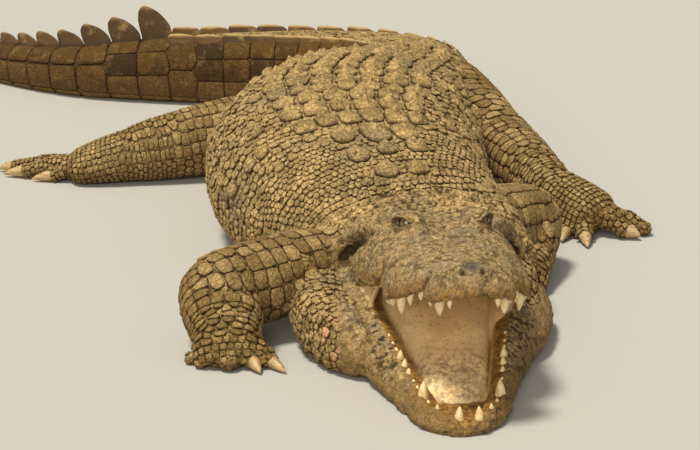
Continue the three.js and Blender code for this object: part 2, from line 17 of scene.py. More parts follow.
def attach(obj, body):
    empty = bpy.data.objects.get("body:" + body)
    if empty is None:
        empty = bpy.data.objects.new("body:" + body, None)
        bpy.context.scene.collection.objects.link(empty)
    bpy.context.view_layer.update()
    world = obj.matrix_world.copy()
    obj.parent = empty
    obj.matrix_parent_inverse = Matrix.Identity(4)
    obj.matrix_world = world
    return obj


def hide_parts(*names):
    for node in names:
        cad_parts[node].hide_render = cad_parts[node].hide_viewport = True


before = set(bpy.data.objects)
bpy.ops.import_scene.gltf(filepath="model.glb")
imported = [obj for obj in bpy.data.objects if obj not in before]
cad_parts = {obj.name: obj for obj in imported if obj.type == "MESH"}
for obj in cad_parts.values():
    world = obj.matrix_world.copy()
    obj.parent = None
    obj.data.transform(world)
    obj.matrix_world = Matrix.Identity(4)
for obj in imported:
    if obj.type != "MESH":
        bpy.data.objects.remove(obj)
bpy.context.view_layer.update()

MM = 0.001
Z = np.array([0.0, 0.0, 1.0])

# ---------- The animal's shape: the same driving dimensions as the solids ----------
JAW_JOINT = np.array([116.0, -457.0, 84.0])
SKULL_YAW = math.radians(6.2)
JAW_YAW = math.radians(4.4)
SKULL_PITCH = math.radians(12.6)
JOINT_BEHIND_TIP = 500.0
JAW_LENGTH = 499.0
SNOUT_ROUND = 40.0
JAW_ROUND = 34.0
PALATE_ARCH = 16.0
ROW_LEAN = 11.0
GUM_WIDTH = 25.0

SPINE_POINTS = [
    (116, -470, 84),
    (98, -375, 88),
    (58, -275, 95),
    (6, -130, 104),
    (-6, 60, 110),
    (18, 245, 108),
    (63, 390, 105),
    (104, 510, 100),
    (124, 650, 94),
    (108, 790, 86),
    (30, 895, 78),
    (-100, 958, 71),
    (-250, 980, 67),
    (-390, 992, 63),
    (-540, 1024, 54),
    (-652, 1088, 46),
    (-762, 1186, 39),
    (-850, 1320, 31),
    (-915, 1480, 20),
    (-955, 1602, 12),
]
TAIL_TIP = 2760.0
CREST = {
    "from": 1130.0,
    "single_from": 1850.0,
    "to": 2735.0,
    "pitch": 57.0,
    "single_pitch": 65.0,
    "last_pitch": 38.0,
}

# Rows of section tables: distance, then the columns that each table's names give.
BODY_NAMES = ("half", "up", "down", "box")
BODY = [
    (0, 176, 84, 90, 2.3),
    (95, 182, 100, 94, 2.3),
    (200, 196, 132, 100, 2.3),
    (355, 222, 156, 110, 2.3),
    (545, 234, 162, 116, 2.3),
    (730, 212, 152, 114, 2.35),
    (885, 172, 130, 110, 2.4),
    (1025, 134, 112, 104, 2.5),
    (1160, 112, 99, 97, 2.6),
    (1325, 96, 86, 88, 2.7),
    (1495, 86, 78, 79, 2.8),
    (1700, 75, 72, 72, 2.8),
    (1920, 57, 58, 62, 2.5),
    (2090, 45, 45, 52, 2.4),
    (2290, 34, 38, 42, 2.3),
    (2490, 23, 30, 34, 2.2),
    (2650, 13, 20, 24, 2.1),
    (2760, 5, 9, 14, 2.0),
]
SKULL_NAMES = ("half", "top", "lip")
SKULL = [
    (0, 44, 22, 3),
    (45, 61, 38, 5),
    (80, 57, 42, -5),
    (112, 80, 50, 3),
    (142, 96, 56, 9),
    (175, 103, 60, 12),
    (215, 100, 64, 2),
    (253, 103, 69, -3),
    (300, 110, 78, 4),
    (350, 115, 84, 3),
    (400, 118, 85, -4),
    (450, 122, 82, -10),
    (500, 124, 76, -14),
]
JAW_NAMES = ("outer", "row", "rim", "floor")
JAW = [
    (0, 36, 24, 20, 12),
    (41, 60, 46, 30, 15),
    (75, 71, 56, 35, 17),
    (119, 85, 64, 40, 19),
    (175, 102, 73, 48, 23),
    (227, 118, 82, 57, 27),
    (274, 136, 90, 67, 33),
    (320, 158, 100, 78, 40),
    (380, 176, 112, 90, 60),
    (430, 184, 124, 98, 88),
    (475, 184, 128, 102, 98),
]
JOWLS = [
    {"line": [(-28, -440, 60), (-40, -560, 50), (-12, -660, 40), (30, -735, 26)], "half": 44, "high": 50},
    {"line": [(244, -430, 62), (246, -530, 54), (232, -610, 44), (216, -680, 30)], "half": 38, "high": 48},
]
EYE = {"behind_tip": 306.0, "out": 51.0, "above_line": 84.0, "radius": 18.0}

# Teeth as (distance from the tip, length, root radius).
UPPER_TEETH = [
    (15, 10, 3.5),
    (29, 19, 6.8),
    (46, 8, 3.5),
    (60, 7, 3.0),
    (97, 11, 4.0),
    (114, 14, 4.6),
    (135, 24, 7.0),
    (158, 10, 5.0),
    (182, 11, 5.2),
    (208, 11, 5.0),
    (236, 10, 4.8),
    (264, 6, 4.4),
    (292, 5, 4.2),
    (322, 5, 4.0),
]
LOWER_TEETH = [
    (15, 18, 6.4),
    (35, 8, 3.5),
    (52, 6, 3.0),
    (70, 24, 7.4),
    (98, 5, 3.0),
    (118, 5, 3.0),
    (143, 9, 4.2),
    (165, 12, 5.0),
    (188, 14, 5.6),
    (211, 6, 3.8),
    (230, 5, 3.4),
    (252, 5, 3.2),
]

LEGS = {
    "fore_right": {
        "joints": [(-50, -462, 92), (-196, -556, 78), (-180, -645, 42)],
        "wide": (56, 60, 50),
        "high": (56, 58, 38),
        "names": ("upper_arm", "forearm", "hand"),
        "palm": ((-176, -666, 20), 50, 24),
        "toes": [
            {"tip": (-113, -676), "base": (-140, -642, 22), "thick": 16, "claw": 32},
            {"tip": (-140, -682), "base": (-156, -645, 23), "thick": 17, "claw": 26},
            {"tip": (-176, -690), "base": (-176, -648, 24), "thick": 20, "claw": 0},
            {"tip": (-220, -678), "base": (-196, -645, 22), "thick": 15, "claw": 0},
            {"tip": (-238, -658), "base": (-204, -636, 20), "thick": 12, "claw": 0},
        ],
    },
    "fore_left": {
        "joints": [(198, -326, 108), (284, -172, 78), (272, -290, 38)],
        "wide": (58, 60, 46),
        "high": (58, 60, 36),
        "names": ("upper_arm", "forearm", "hand"),
        "palm": ((264, -322, 18), 46, 23),
        "toes": [
            {"tip": (234, -352), "base": (246, -308, 20), "thick": 15, "claw": 26},
            {"tip": (248, -368), "base": (256, -312, 21), "thick": 16, "claw": 25},
            {"tip": (268, -374), "base": (266, -313, 21), "thick": 15, "claw": 23},
            {"tip": (290, -364), "base": (278, -310, 20), "thick": 13, "claw": 0},
            {"tip": (304, -342), "base": (286, -302, 18), "thick": 12, "claw": 0},
        ],
    },
    "hind_right": {
        "joints": [(36, 498, 112), (-160, 418, 84), (-388, 356, 52)],
        "wide": (84, 64, 48),
        "high": (86, 66, 50),
        "names": ("thigh", "shank", "foot"),
        "palm": ((-492, 357, 28), 54, 30),
        "toes": [
            {"tip": (-546, 346), "base": (-466, 346, 28), "thick": 18, "claw": 34},
            {"tip": (-600, 374), "base": (-484, 356, 30), "thick": 19, "claw": 36},
            {"tip": (-622, 410), "base": (-486, 370, 30), "thick": 18, "claw": 30},
            {"tip": (-584, 438), "base": (-474, 386, 26), "thick": 15, "claw": 0},
        ],
    },
    "hind_left": {
        "joints": [(176, 500, 112), (256, 300, 92), (342, 78, 60)],
        "wide": (78, 60, 42),
        "high": (84, 62, 44),
        "names": ("thigh", "shank", "foot"),
        "palm": ((412, 22, 34), 56, 36),
        "toes": [
            {"tip": (364, -16), "base": (376, 28, 28), "thick": 18, "claw": 30},
            {"tip": (396, -42), "base": (394, 16, 30), "thick": 19, "claw": 36},
            {"tip": (470, -16), "base": (422, 18, 34), "thick": 24, "claw": 24},
            {"tip": (506, 0), "base": (440, 30, 30), "thick": 18, "claw": 0},
        ],
    },
}


# ---------- Curves, tables and noise ----------
def unit(v):
    return v / np.maximum(np.linalg.norm(v, axis=-1, keepdims=True), 1e-9)


def smoothstep(low, high, value):
    t = np.clip((value - low) / (high - low), 0, 1)
    return t * t * (3 - 2 * t)


def lerp(a, b, t):
    return a + (b - a) * t


def round_off(distance, length):
    t = np.clip(np.asarray(distance, float) / length, 0, 1)
    return np.sqrt(1 - (1 - t) ** 2)


def turns(count):
    """Even angles round a full turn."""
    return np.linspace(0, 2 * math.pi, count, endpoint=False)


class Curve:
    """A centripetal Catmull-Rom curve, measured by the distance along it."""

    def __init__(self, points, steps=48):
        p = np.array(points, float)
        p = np.vstack([2 * p[0] - p[1], p, 2 * p[-1] - p[-2]])
        rows = []
        for i in range(1, len(p) - 2):
            a, b, c, d = p[i - 1 : i + 3]
            dt = [max(np.linalg.norm(v), 1e-6) ** 0.5 for v in (b - a, c - b, d - c)]
            m = ((b - a) / dt[0] - (c - a) / (dt[0] + dt[1]) + (c - b) / dt[1]) * dt[1]
            n = ((c - b) / dt[1] - (d - b) / (dt[1] + dt[2]) + (d - c) / dt[2]) * dt[1]
            t = np.linspace(0, 1, steps, endpoint=False)[:, None]
            h = 2 * t**3 - 3 * t**2
            rows.append(b * (1 + h) + m * (t**3 - 2 * t**2 + t) - c * h + n * (t**3 - t**2))
        self.p = np.vstack(rows + [p[-2][None]])
        self.s = np.concatenate([[0], np.cumsum(np.linalg.norm(np.diff(self.p, axis=0), axis=1))])
        self.length = self.s[-1]
        self.t = unit(np.gradient(self.p, self.s, axis=0))

    def at(self, s):
        """Place, side, rise and along at distances s, straight on past the ends."""
        s = np.asarray(s, float)
        inside = np.clip(s, 0, self.length)
        along = unit(np.stack([np.interp(inside, self.s, self.t[:, k]) for k in range(3)], -1))
        place = np.stack([np.interp(inside, self.s, self.p[:, k]) for k in range(3)], -1)
        place = place + along * (s - inside)[..., None]
        side = unit(np.cross(along, Z))
        return place, side, np.cross(side, along), along

    def nearest(self, points):
        """Distance along the curve of the place nearest to each point."""
        coarse = np.linspace(0, self.length, max(8, int(self.length / 16)))
        where = self.at(coarse)[0]
        s = np.empty(len(points))
        for i in range(0, len(points), 60000):
            part = points[i : i + 60000]
            far = (where**2).sum(1)[None] - 2 * part @ where.T
            s[i : i + 60000] = coarse[far.argmin(1)]
        for _ in range(2):
            place, _, _, along = self.at(s)
            step = ((points - place) * along).sum(1)
            s = np.clip(s + np.clip(step, -16, 16) * 0.8, 0, self.length)
        return s


def column(table, names, name, at):
    """A table's column at a distance, with a smooth step between its rows."""
    rows = np.array(table, float)
    x, y = rows[:, 0], rows[:, 1 + names.index(name)]
    at = np.clip(np.asarray(at, float), x[0], x[-1])
    slope = np.empty(len(x))
    slope[1:-1] = (y[2:] - y[:-2]) / (x[2:] - x[:-2])
    slope[0] = (y[1] - y[0]) / (x[1] - x[0])
    slope[-1] = (y[-1] - y[-2]) / (x[-1] - x[-2])
    i = np.clip(np.searchsorted(x, at, side="right") - 1, 0, len(x) - 2)
    span = x[i + 1] - x[i]
    t = (at - x[i]) / span
    h = 2 * t**3 - 3 * t**2
    bend = slope[i] * (t**3 - 2 * t**2 + t) + slope[i + 1] * (t**3 - t**2)
    return y[i] * (1 + h) - y[i + 1] * h + span * bend


def hashed(*numbers):
    """A fixed pseudo-random value from 0 to 1 for each set of whole numbers."""
    total = np.zeros(np.broadcast(*numbers).shape, np.int64)
    for n, big in zip(numbers, (374761393, 668265263, 1274126177, 2147483629)):
        total = total + np.asarray(n).astype(np.int64) * big
    total = (total ^ (total >> 13)) * 1274126177
    total = total ^ (total >> 16)
    return (total & 0xFFFFF) / float(0xFFFFF)


def noise(points, size, seed=0):
    """Smooth value noise from -1 to 1 with lumps of about this size."""
    q = np.asarray(points, float) / size
    base = np.floor(q).astype(np.int64)
    f = q - base
    f = f * f * (3 - 2 * f)
    total = 0.0
    for dx in (0, 1):
        wx = f[:, 0] if dx else 1 - f[:, 0]
        for dy in (0, 1):
            wy = f[:, 1] if dy else 1 - f[:, 1]
            for dz in (0, 1):
                wz = f[:, 2] if dz else 1 - f[:, 2]
                corner = hashed(base[:, 0] + dx, base[:, 1] + dy, base[:, 2] + dz, np.int64(seed))
                total = total + wx * wy * wz * corner
    return 2 * total - 1


# ---------- Closed surfaces of the parts ----------
def section(angle, half, up, down, box):
    """Points of a boxy ellipse with its own height above and below."""
    c, s = np.cos(angle), np.sin(angle)
    x = half * np.sign(c) * np.abs(c) ** (2 / box)
    z = np.where(s > 0, up, down) * np.sign(s) * np.abs(s) ** (2 / box)
    return x, z


def tube(rings):
    """Vertices and faces of a closed surface through rings of points, as (rings, sides, 3)."""
    rings = np.asarray(rings, float)
    n, m = rings.shape[:2]
    verts = np.vstack([rings.reshape(-1, 3), rings[0].mean(0), rings[-1].mean(0)])
    r, s = np.meshgrid(np.arange(n - 1), np.arange(m), indexing="ij")
    a, b = r * m + s, r * m + (s + 1) % m
    faces = np.stack([a, b, b + m, a + m], -1).reshape(-1, 4).tolist()
    faces += [[n * m, (k + 1) % m, k] for k in range(m)]
    last = (n - 1) * m
    faces += [[n * m + 1, last + k, last + (k + 1) % m] for k in range(m)]
    return verts, faces


def sweep(curve, distances, sides, size):
    """A closed surface along a curve. size(distances) gives half, up, down and box."""
    place, side, rise, _ = curve.at(distances)
    half, up, down, box = [np.broadcast_to(v, np.shape(distances))[:, None] for v in size(distances)]
    angle = turns(sides)[None]
    x, z = section(angle, half, up, down, box)
    return tube(place[:, None] + side[:, None] * x[..., None] + rise[:, None] * z[..., None])


SPINE = Curve(SPINE_POINTS)


def body_size(s):
    return [column(BODY, BODY_NAMES, name, s) for name in BODY_NAMES]


def rotation(axis, angle):
    c, s = math.cos(angle), math.sin(angle)
    if axis == "x":
        return np.array([[1, 0, 0], [0, c, -s], [0, s, c]])
    return np.array([[c, -s, 0], [s, c, 0], [0, 0, 1]])


class HeadFrame:
    """The frame of one jaw: tip at y = 0 and its base line at z = 0, to the animal's frame and back."""

    def __init__(self, yaw, pitch, behind_tip, height):
        self.turn = rotation("z", yaw) @ rotation("x", -pitch)
        self.shift = np.array([0.0, -behind_tip, -height])

    def out(self, p):
        return (np.asarray(p, float) + self.shift) @ self.turn.T + JAW_JOINT

    def back(self, p):
        return (np.asarray(p, float) - JAW_JOINT) @ self.turn - self.shift


UPPER = HeadFrame(SKULL_YAW, SKULL_PITCH, JOINT_BEHIND_TIP, 0.0)
LOWER = HeadFrame(JAW_YAW, 0.0, JAW_LENGTH, JAW_JOINT[2])


def skull(name, at):
    return column(SKULL, SKULL_NAMES, name, at)


def jaw(name, at):
    return column(JAW, JAW_NAMES, name, at)


def tooth_row(at, side):
    """How far out the lower teeth stand. The jaw has slid a little to the animal's left."""
    at, side = np.asarray(at, float), np.asarray(side)
    lean = ROW_LEAN * smoothstep(0, 70, at) * smoothstep(430, 330, at) * (side > 0)
    front = (0.8 * ROW_LEAN * np.sign(side) - 7) * smoothstep(45, 15, at)
    return jaw("row", at) * round_off(at, JAW_ROUND) + lean + front


def ring_places(length, spacing):
    return np.concatenate([[0.5, 2, 5, 9], np.arange(14, length, spacing), [length]])


def upper_head():
    rings = []
    for at in ring_places(JOINT_BEHIND_TIP - 12, 7):
        r = float(round_off(at, SNOUT_ROUND))
        half = float(skull("half", at)) * r
        top = float(skull("top", at)) * (0.35 + 0.65 * r)
        lip = -float(skull("lip", at))
        x, z = section(np.linspace(0, math.pi, 41), half, top - lip, 0, 2.7)
        under = -half * np.linspace(1, -1, 15)[1:-1] * 0.95
        arch = PALATE_ARCH * r * (1 - (under / half) ** 2)
        x = np.concatenate([x, under])
        z = np.concatenate([lip + z, lip + arch])
        rings.append(UPPER.out(np.stack([x, np.full_like(x, at), z], -1)))
    return tube(rings)


def ridge(points, swell_in, swell_out, sizes):
    """A rounded ridge along points of the skull's frame. sizes is (half, up, down)."""
    line = Curve(points)

    def size(s):
        swell = round_off(s, swell_in) * round_off(line.length - s, swell_out)
        return *(least + most * swell for least, most in zip((3, 2, 4), sizes)), 2.2

    verts, faces = sweep(line, np.linspace(0, line.length, 40), 28, size)
    return UPPER.out(verts), faces


def lower_jaw():
    rings = []
    for at in ring_places(JAW_LENGTH - 30, 7):
        r = float(round_off(at, JAW_ROUND))
        rim = float(jaw("rim", at)) * (0.6 + 0.4 * r)
        floor = float(jaw("floor", at))
        halves = []
        for side in (1, -1):
            row = float(tooth_row(at, side))
            outer = max(float(jaw("outer", at)) * r, row + 7 * r)
            gum = row - GUM_WIDTH * r
            corners = np.array(
                [
                    (gum * 0.5, floor),
                    (gum * 0.92, floor),
                    (gum, lerp(floor, rim, 0.72)),
                    (lerp(gum, row, 0.6), rim - 1),
                    (row, rim),
                    (row + 0.45 * (outer - row), rim * 0.85),
                    (outer * 0.98, rim * 0.5),
                    (outer, rim * 0.33),
                    (outer * 0.9, 2),
                    (outer * 0.75, -3),
                ]
            )
            halves.append(Curve(np.column_stack([corners, np.zeros(len(corners))]), 6).p[:, :2] * (side, 1))
        ring = np.vstack([[(0, floor)], halves[0], [(0, -3)], halves[1][::-1]])
        rings.append(LOWER.out(np.column_stack([ring[:, 0], np.full(len(ring), at), ring[:, 1]])))
    return tube(np.array(rings)[:, ::-1])


class Tube:
    """A part swept along a curve, with its own half width, height up and down, and boxiness."""

    def __init__(self, name, curve, size, distances, sides=40):
        self.name, self.curve, self.size, self.sides = name, curve, size, sides
        self.distances = np.asarray(distances, float)

    def shape(self):
        return sweep(self.curve, self.distances, self.sides, self.size)

    def local(self, points):
        """Distance along, and how far to the side of and above the middle line."""
        s = self.curve.nearest(points)
        place, side, rise, _ = self.curve.at(s)
        return s, ((points - place) * side).sum(1), ((points - place) * rise).sum(1)

    def ring(self, s):
        """The section at one distance: its points from below and over the left, their arc length
        from the top, and the direction along."""
        half, up, down, box = [float(np.ravel(v)[0]) for v in self.size(np.array([s]))]
        x, z = section(np.linspace(1.5, -0.5, 161) * math.pi, half, up, down, box)
        place, side, rise, along = [v[0] for v in self.curve.at(np.array([s]))]
        points = place + side * x[:, None] + rise * z[:, None]
        arc = np.concatenate([[0], np.cumsum(np.linalg.norm(np.diff(points, axis=0), axis=1))])
        return points, arc - arc[80], along


class Shell:
    """A part with a surface of its own and no middle line."""

    def __init__(self, name, shape):
        self.name, self.made = name, shape

    def shape(self):
        return self.made


BODY_TUBE = Tube("body", SPINE, body_size, np.arange(0, TAIL_TIP + 1, 10.0), 96)


def jowl(name, line, half, high):
    curve = Curve(line)

    def size(s):
        swell = round_off(s + 40, 90) * round_off(curve.length - s + 3, 150)
        return half * swell, high * swell, high * swell, 2.2

    return Tube(name, curve, size, np.linspace(0, curve.length, 30), 36)


def limb(name, a, b, wide, high):
    """A limb's length between two joints, with rounded ends."""
    a, b = np.array(a, float), np.array(b, float)
    along = unit(b - a)
    end_a, end_b = min(wide[0], high[0]) * 0.8, min(wide[1], high[1]) * 0.8
    curve = Curve([a - along * end_a, a, b, b + along * end_b])

    def size(s):
        t = np.clip((s - end_a) / (curve.length - end_a - end_b), 0, 1)
        ends = np.minimum(round_off(s, end_a * 1.2), round_off(curve.length - s, end_b * 1.2))
        swell = (1 + 0.07 * np.sin(np.pi * t)) * ends
        return lerp(*wide, t) * swell, lerp(*high, t) * swell, lerp(*high, t) * swell, 2.2

    share = (1 - np.cos(np.pi * np.linspace(0.02, 0.98, 34))) / 2
    return Tube(name, curve, size, share * curve.length)


def toe_end(toe):
    return np.array([*toe["tip"], 0.56 * toe["thick"]])


def toe_curve(toe):
    start, end = np.array(toe["base"], float), toe_end(toe)
    knuckle = lerp(start, end, 0.55) + (0, 0, 0.28 * toe["thick"])
    return Curve([start, knuckle, end])


def toe_tube(name, toe):
    line = toe_curve(toe)
    past = line.length + toe["thick"] * 0.5

    def size(s):
        t = np.clip(s / line.length, 0, 1)
        closing = np.sqrt(np.clip(1 - (s - line.length) / (past - line.length + 0.5), 0, 1))
        joint = 1 + 0.1 * np.cos(t * math.pi * 4)
        radius = toe["thick"] * lerp(1.25, 0.72, t**0.8) * joint * np.where(s > line.length, closing, 1)
        return radius, radius * 0.85, radius * 0.9, 2.1

    distances = np.concatenate([np.linspace(0, line.length, 16), np.linspace(line.length, past, 6)[1:]])
    return Tube(name, line, size, distances, 20)


def web(leg, first, second):
    """The webbing between two hind toes, with a hollow free edge."""
    toes = [leg["toes"][k] for k in (first, second)]
    lines = [toe_curve(toe) for toe in toes]
    back = unit(np.array(toes[0]["base"]) - np.array([*toes[0]["tip"], 20.0]))
    across = np.linspace(0, 1, 11)[:, None]
    rings = []
    for t in np.linspace(0.0, 0.75, 10):
        ends = [line.at(np.array([t * line.length]))[0][0] for line in lines]
        middle = lerp(ends[0], ends[1], across)
        middle = middle + (back * 26 * t - Z * 4) * np.sin(np.pi * across)
        rings.append(np.vstack([middle + Z * 3, (middle - Z * 3)[::-1]]))
    return tube(rings)


def leg_parts(key, leg):
    joints, wide, high = leg["joints"], leg["wide"], leg["high"]
    palm_to, palm_half, palm_high = leg["palm"]
    parts = [
        limb(key + ".upper", joints[0], joints[1], wide[:2], high[:2]),
        limb(key + ".lower", joints[1], joints[2], wide[1:], high[1:]),
        limb(key + ".palm", joints[2], palm_to, (wide[2] * 0.95, palm_half), (high[2] * 0.9, palm_high)),
    ]
    parts += [toe_tube(f"{key}.toe{k}", toe) for k, toe in enumerate(leg["toes"])]
    if key.startswith("hind"):
        parts += [Shell(f"{key}.web{k}", web(leg, k, k + 1)) for k in range(3)]
    return parts


def mouth_corner(side):
    """The web of skin between the jaws at the corner of the mouth, with a hollow front edge."""
    rings = []
    v = np.linspace(0, 1, 11)[:, None]
    for t in np.linspace(0, 1, 6):
        top = UPPER.out([side * (skull("half", 300) - 8), 284 + 120 * t, 4])
        behind = 332 + 90 * t
        foot = LOWER.out([side * (float(jaw("row", 350 + 80 * t)) - 4), behind, float(jaw("rim", behind))])
        hollow = np.array([-side * 8.0, 34.0, 0.0]) * (1 - t) * np.sin(np.pi * v)
        sheet = lerp(top, foot, v) + hollow
        rings.append(np.vstack([sheet + (4.5, 0, 0), (sheet - (4.5, 0, 0))[::-1]]))
    return tube(rings)


def cheek_fold(side):
    """The thick fold of skin that overhangs the hollow behind the corner of the mouth."""
    line = [(-142, 476, 8), (-133, 466, 38), (-116, 440, 62), (-98, 400, 72), (-74, 350, 74)]
    return ridge([(-side * x, y, z) for x, y, z in line], 30, 60, (9, 8, 8))


def head_parts():
    parts = [Shell("head", upper_head()), Shell("jaw", lower_jaw())]
    parts += [Shell("corner", mouth_corner(side)) for side in (1, -1)]
    parts += [Shell("head.fold", cheek_fold(side)) for side in (1, -1)]
    parts.append(Shell("head.nose", ridge([(0, 12, 18), (0, 36, 32), (0, 78, 38)], 24, 38, (25, 10, 12))))
    for side in (1, -1):
        brow = [(34, 252, 64), (42, 288, 76), (46, 318, 82), (50, 345, 84), (58, 395, 82), (70, 462, 76)]
        mound = [(46, 272, 66), (50, 306, 78), (50, 342, 72)]
        cheek = [(84, 350, 12), (90, 425, 4), (90, 490, -4)]
        for name, line, swell, sizes in (
            ("head.brow", brow, 60, (15, 14, 22)),
            ("head.mound", mound, 40, (23, 23, 20)),
            ("head.cheek", cheek, 60, (30, 32, 28)),
        ):
            line = [(side * x, y, z) for x, y, z in line]
            parts.append(Shell(name, ridge(line, swell, swell, sizes)))
    return parts


PARTS = [BODY_TUBE, *head_parts()]
PARTS += [jowl(f"jowl{k}", **each) for k, each in enumerate(JOWLS)]
for leg_key, each_leg in LEGS.items():
    PARTS += leg_parts(leg_key, each_leg)
PART_NAMES = [part.name for part in PARTS]


def facing_out(verts, faces):
    """The faces, turned round if they face inwards."""
    tri = np.array([f[:3] for f in faces])
    a, b, c = (verts[tri[:, k]] - verts.mean(0) for k in range(3))
    volume = np.einsum("ij,ij->i", a, np.cross(b, c)).sum()
    return faces if volume > 0 else [f[::-1] for f in faces]


SHAPES = []
for each_part in PARTS:
    part_verts, part_faces = each_part.shape()
    SHAPES.append((part_verts, facing_out(part_verts, part_faces)))


# ---------- Meshes ----------
def joined(shapes):
    verts, faces, start = [], [], 0
    for v, f in shapes:
        verts.append(v)
        faces += [[i + start for i in face] for face in f]
        start += len(v)
    return np.vstack(verts), faces


def link(name, mesh):
    obj = bpy.data.objects.new(name, mesh)
    bpy.context.scene.collection.objects.link(obj)
    return obj


def make_object(name, verts, faces):
    mesh = bpy.data.meshes.new(name)
    mesh.from_pydata((np.asarray(verts) * MM).tolist(), [], faces)
    mesh.shade_smooth()
    return link(name, mesh)


def set_marks(mesh, marks):
    """Stores named values for the mesh's points, for the materials to read."""
    for key, values in marks.items():
        mesh.attributes.new(key, "FLOAT", "POINT").data.foreach_set("value", values.astype(np.float32))


def set_uv(mesh, uv):
    mesh.uv_layers.new(name="OFBake").data.foreach_set("uv", uv.astype(np.float32).ravel())


def read(items, name, width, kind=np.float32):
    out = np.empty(len(items) * width, kind)
    items.foreach_get(name, out)
    return out.reshape(-1, width) if width > 1 else out


def mesh_of(name, verts, polygons):
    """A mesh from arrays of faces, each with its own number of corners."""
    mesh = bpy.data.meshes.new(name)
    mesh.vertices.add(len(verts))
    mesh.vertices.foreach_set("co", (verts * MM).astype(np.float32).ravel())
    corners = np.concatenate([f.ravel() for f in polygons]).astype(np.int32)
    sizes = np.concatenate([np.full(len(f), f.shape[1]) for f in polygons])
    mesh.loops.add(len(corners))
    mesh.loops.foreach_set("vertex_index", corners)
    mesh.polygons.add(len(sizes))
    mesh.polygons.foreach_set("loop_start", (np.cumsum(sizes) - sizes).astype(np.int32))
    mesh.update(calc_edges=True)
    mesh.shade_smooth()
    return mesh


def coords(mesh):
    return read(mesh.vertices, "co", 3).astype(float) / MM


def set_coords(mesh, p):
    mesh.vertices.foreach_set("co", (p * MM).astype(np.float32).ravel())
    mesh.update()


def neighbours(mesh):
    """The mesh's edges and how many meet at each point."""
    edges = read(mesh.edges, "vertices", 2, np.int32)
    return edges, np.maximum(np.bincount(edges.ravel(), minlength=len(mesh.vertices)), 1)


def averaged(values, edges, degree):
    """Each point's mean of the points next to it."""
    values = values.reshape(len(values), -1)
    total = np.empty_like(values)
    for k in range(values.shape[1]):
        v = values[:, k]
        total[:, k] = np.bincount(edges[:, 0], v[edges[:, 1]], len(v))
        total[:, k] += np.bincount(edges[:, 1], v[edges[:, 0]], len(v))
    return total / degree[:, None]


def relaxed(p, edges, degree, rounds):
    """Smooths points along the mesh without shrinking it much."""
    for _ in range(rounds):
        p = p + 0.55 * (averaged(p, edges, degree) - p)
        p = p - 0.52 * (averaged(p, edges, degree) - p)
    return p


def blurred(values, edges, degree, rounds):
    for _ in range(rounds):
        values = 0.4 * values + 0.6 * averaged(values, edges, degree)[:, 0]
    return values


def voxel_mesh(name, shapes, size):
    """One closed mesh round all the shapes."""
    obj = make_object(name, *joined(shapes))
    modifier = obj.modifiers.new("Remesh", "REMESH")
    modifier.mode = "VOXEL"
    modifier.voxel_size = size * MM
    graph = bpy.context.evaluated_depsgraph_get()
    mesh = bpy.data.meshes.new_from_object(obj.evaluated_get(graph))
    bpy.data.objects.remove(obj)
    return mesh


class Base:
    """The smooth surface that the scales sit on."""

    def __init__(self, mesh, p, normal):
        self.p, self.normal = p.copy(), normal.copy()
        faces = [tuple(f.vertices) for f in mesh.polygons]
        self.corner = np.array([f[0] for f in faces])
        self.tree = BVHTree.FromPolygons(p.tolist(), faces)


def in_head(p):
    """Which points are on the head and jaws."""
    q = LOWER.back(p)
    return (q[:, 1] < 430) & (np.abs(q[:, 0]) < 230)


def finer_head(mesh):
    """Halves the size of the head's faces."""
    build = bmesh.new()
    build.from_mesh(mesh)
    build.verts.ensure_lookup_table()
    head = in_head(coords(mesh))
    edges = [e for e in build.edges if head[e.verts[0].index] and head[e.verts[1].index]]
    bmesh.ops.subdivide_edges(build, edges=edges, cuts=1, use_grid_fill=True)
    build.to_mesh(mesh)
    build.free()


def owners(points):
    """The part whose surface is nearest to each point."""
    verts, faces = joined(SHAPES)
    part_of = np.repeat(np.arange(len(SHAPES)), [len(f) for _, f in SHAPES])
    tree = BVHTree.FromPolygons(verts.tolist(), faces)
    return np.array([part_of[tree.find_nearest(p)[2]] for p in points.tolist()])


# ---------- Where things are on the animal ----------
def upper_local(p):
    """Place in the skull's frame, and the skull's half width and lip height there."""
    q = UPPER.back(p)
    rounded = round_off(q[:, 1], SNOUT_ROUND)
    return q, skull("half", q[:, 1]) * rounded, -skull("lip", q[:, 1])


def lower_local(p):
    q = LOWER.back(p)
    rounded = round_off(q[:, 1], JAW_ROUND)
    gum = tooth_row(q[:, 1], np.sign(q[:, 0])) - GUM_WIDTH * rounded
    return q, gum, jaw("rim", q[:, 1]) * (0.6 + 0.4 * rounded), jaw("floor", q[:, 1])


def tooth_places(rows, upper):
    """Root place, direction and inward bend of each tooth, both sides, with its length and radius."""
    frame_of = UPPER if upper else LOWER
    for at, length, radius in rows:
        rounded = float(round_off(at, SNOUT_ROUND if upper else JAW_ROUND))
        height = -skull("lip", at) if upper else jaw("rim", at) * (0.6 + 0.4 * rounded) - 2
        for side in (1, -1):
            out = skull("half", at) * rounded - radius - 3 if upper else tooth_row(at, side) - 7
            place = frame_of.out([side * float(out), at + (radius if upper else 2), float(height)])
            along = frame_of.turn @ unit(np.array([side * 0.12, 0, -1 if upper else 1]))
            inward = frame_of.turn @ unit(np.array([-side, 0.4, 0]))
            yield place, along, unit(inward - along * (inward @ along)), length, radius


def hump(value, middle, width):
    """1 at the middle, falling smoothly to 0 on both sides."""
    return np.exp(-(((value - middle) / width) ** 2))


def bump(p, centre, radius):
    """1 at a centre, falling smoothly to 0 at a radius, which may differ by axis."""
    far = np.linalg.norm((p - np.asarray(centre, float)) / np.asarray(radius, float), axis=1)
    return np.clip(1 - far**2, 0, 1) ** 2


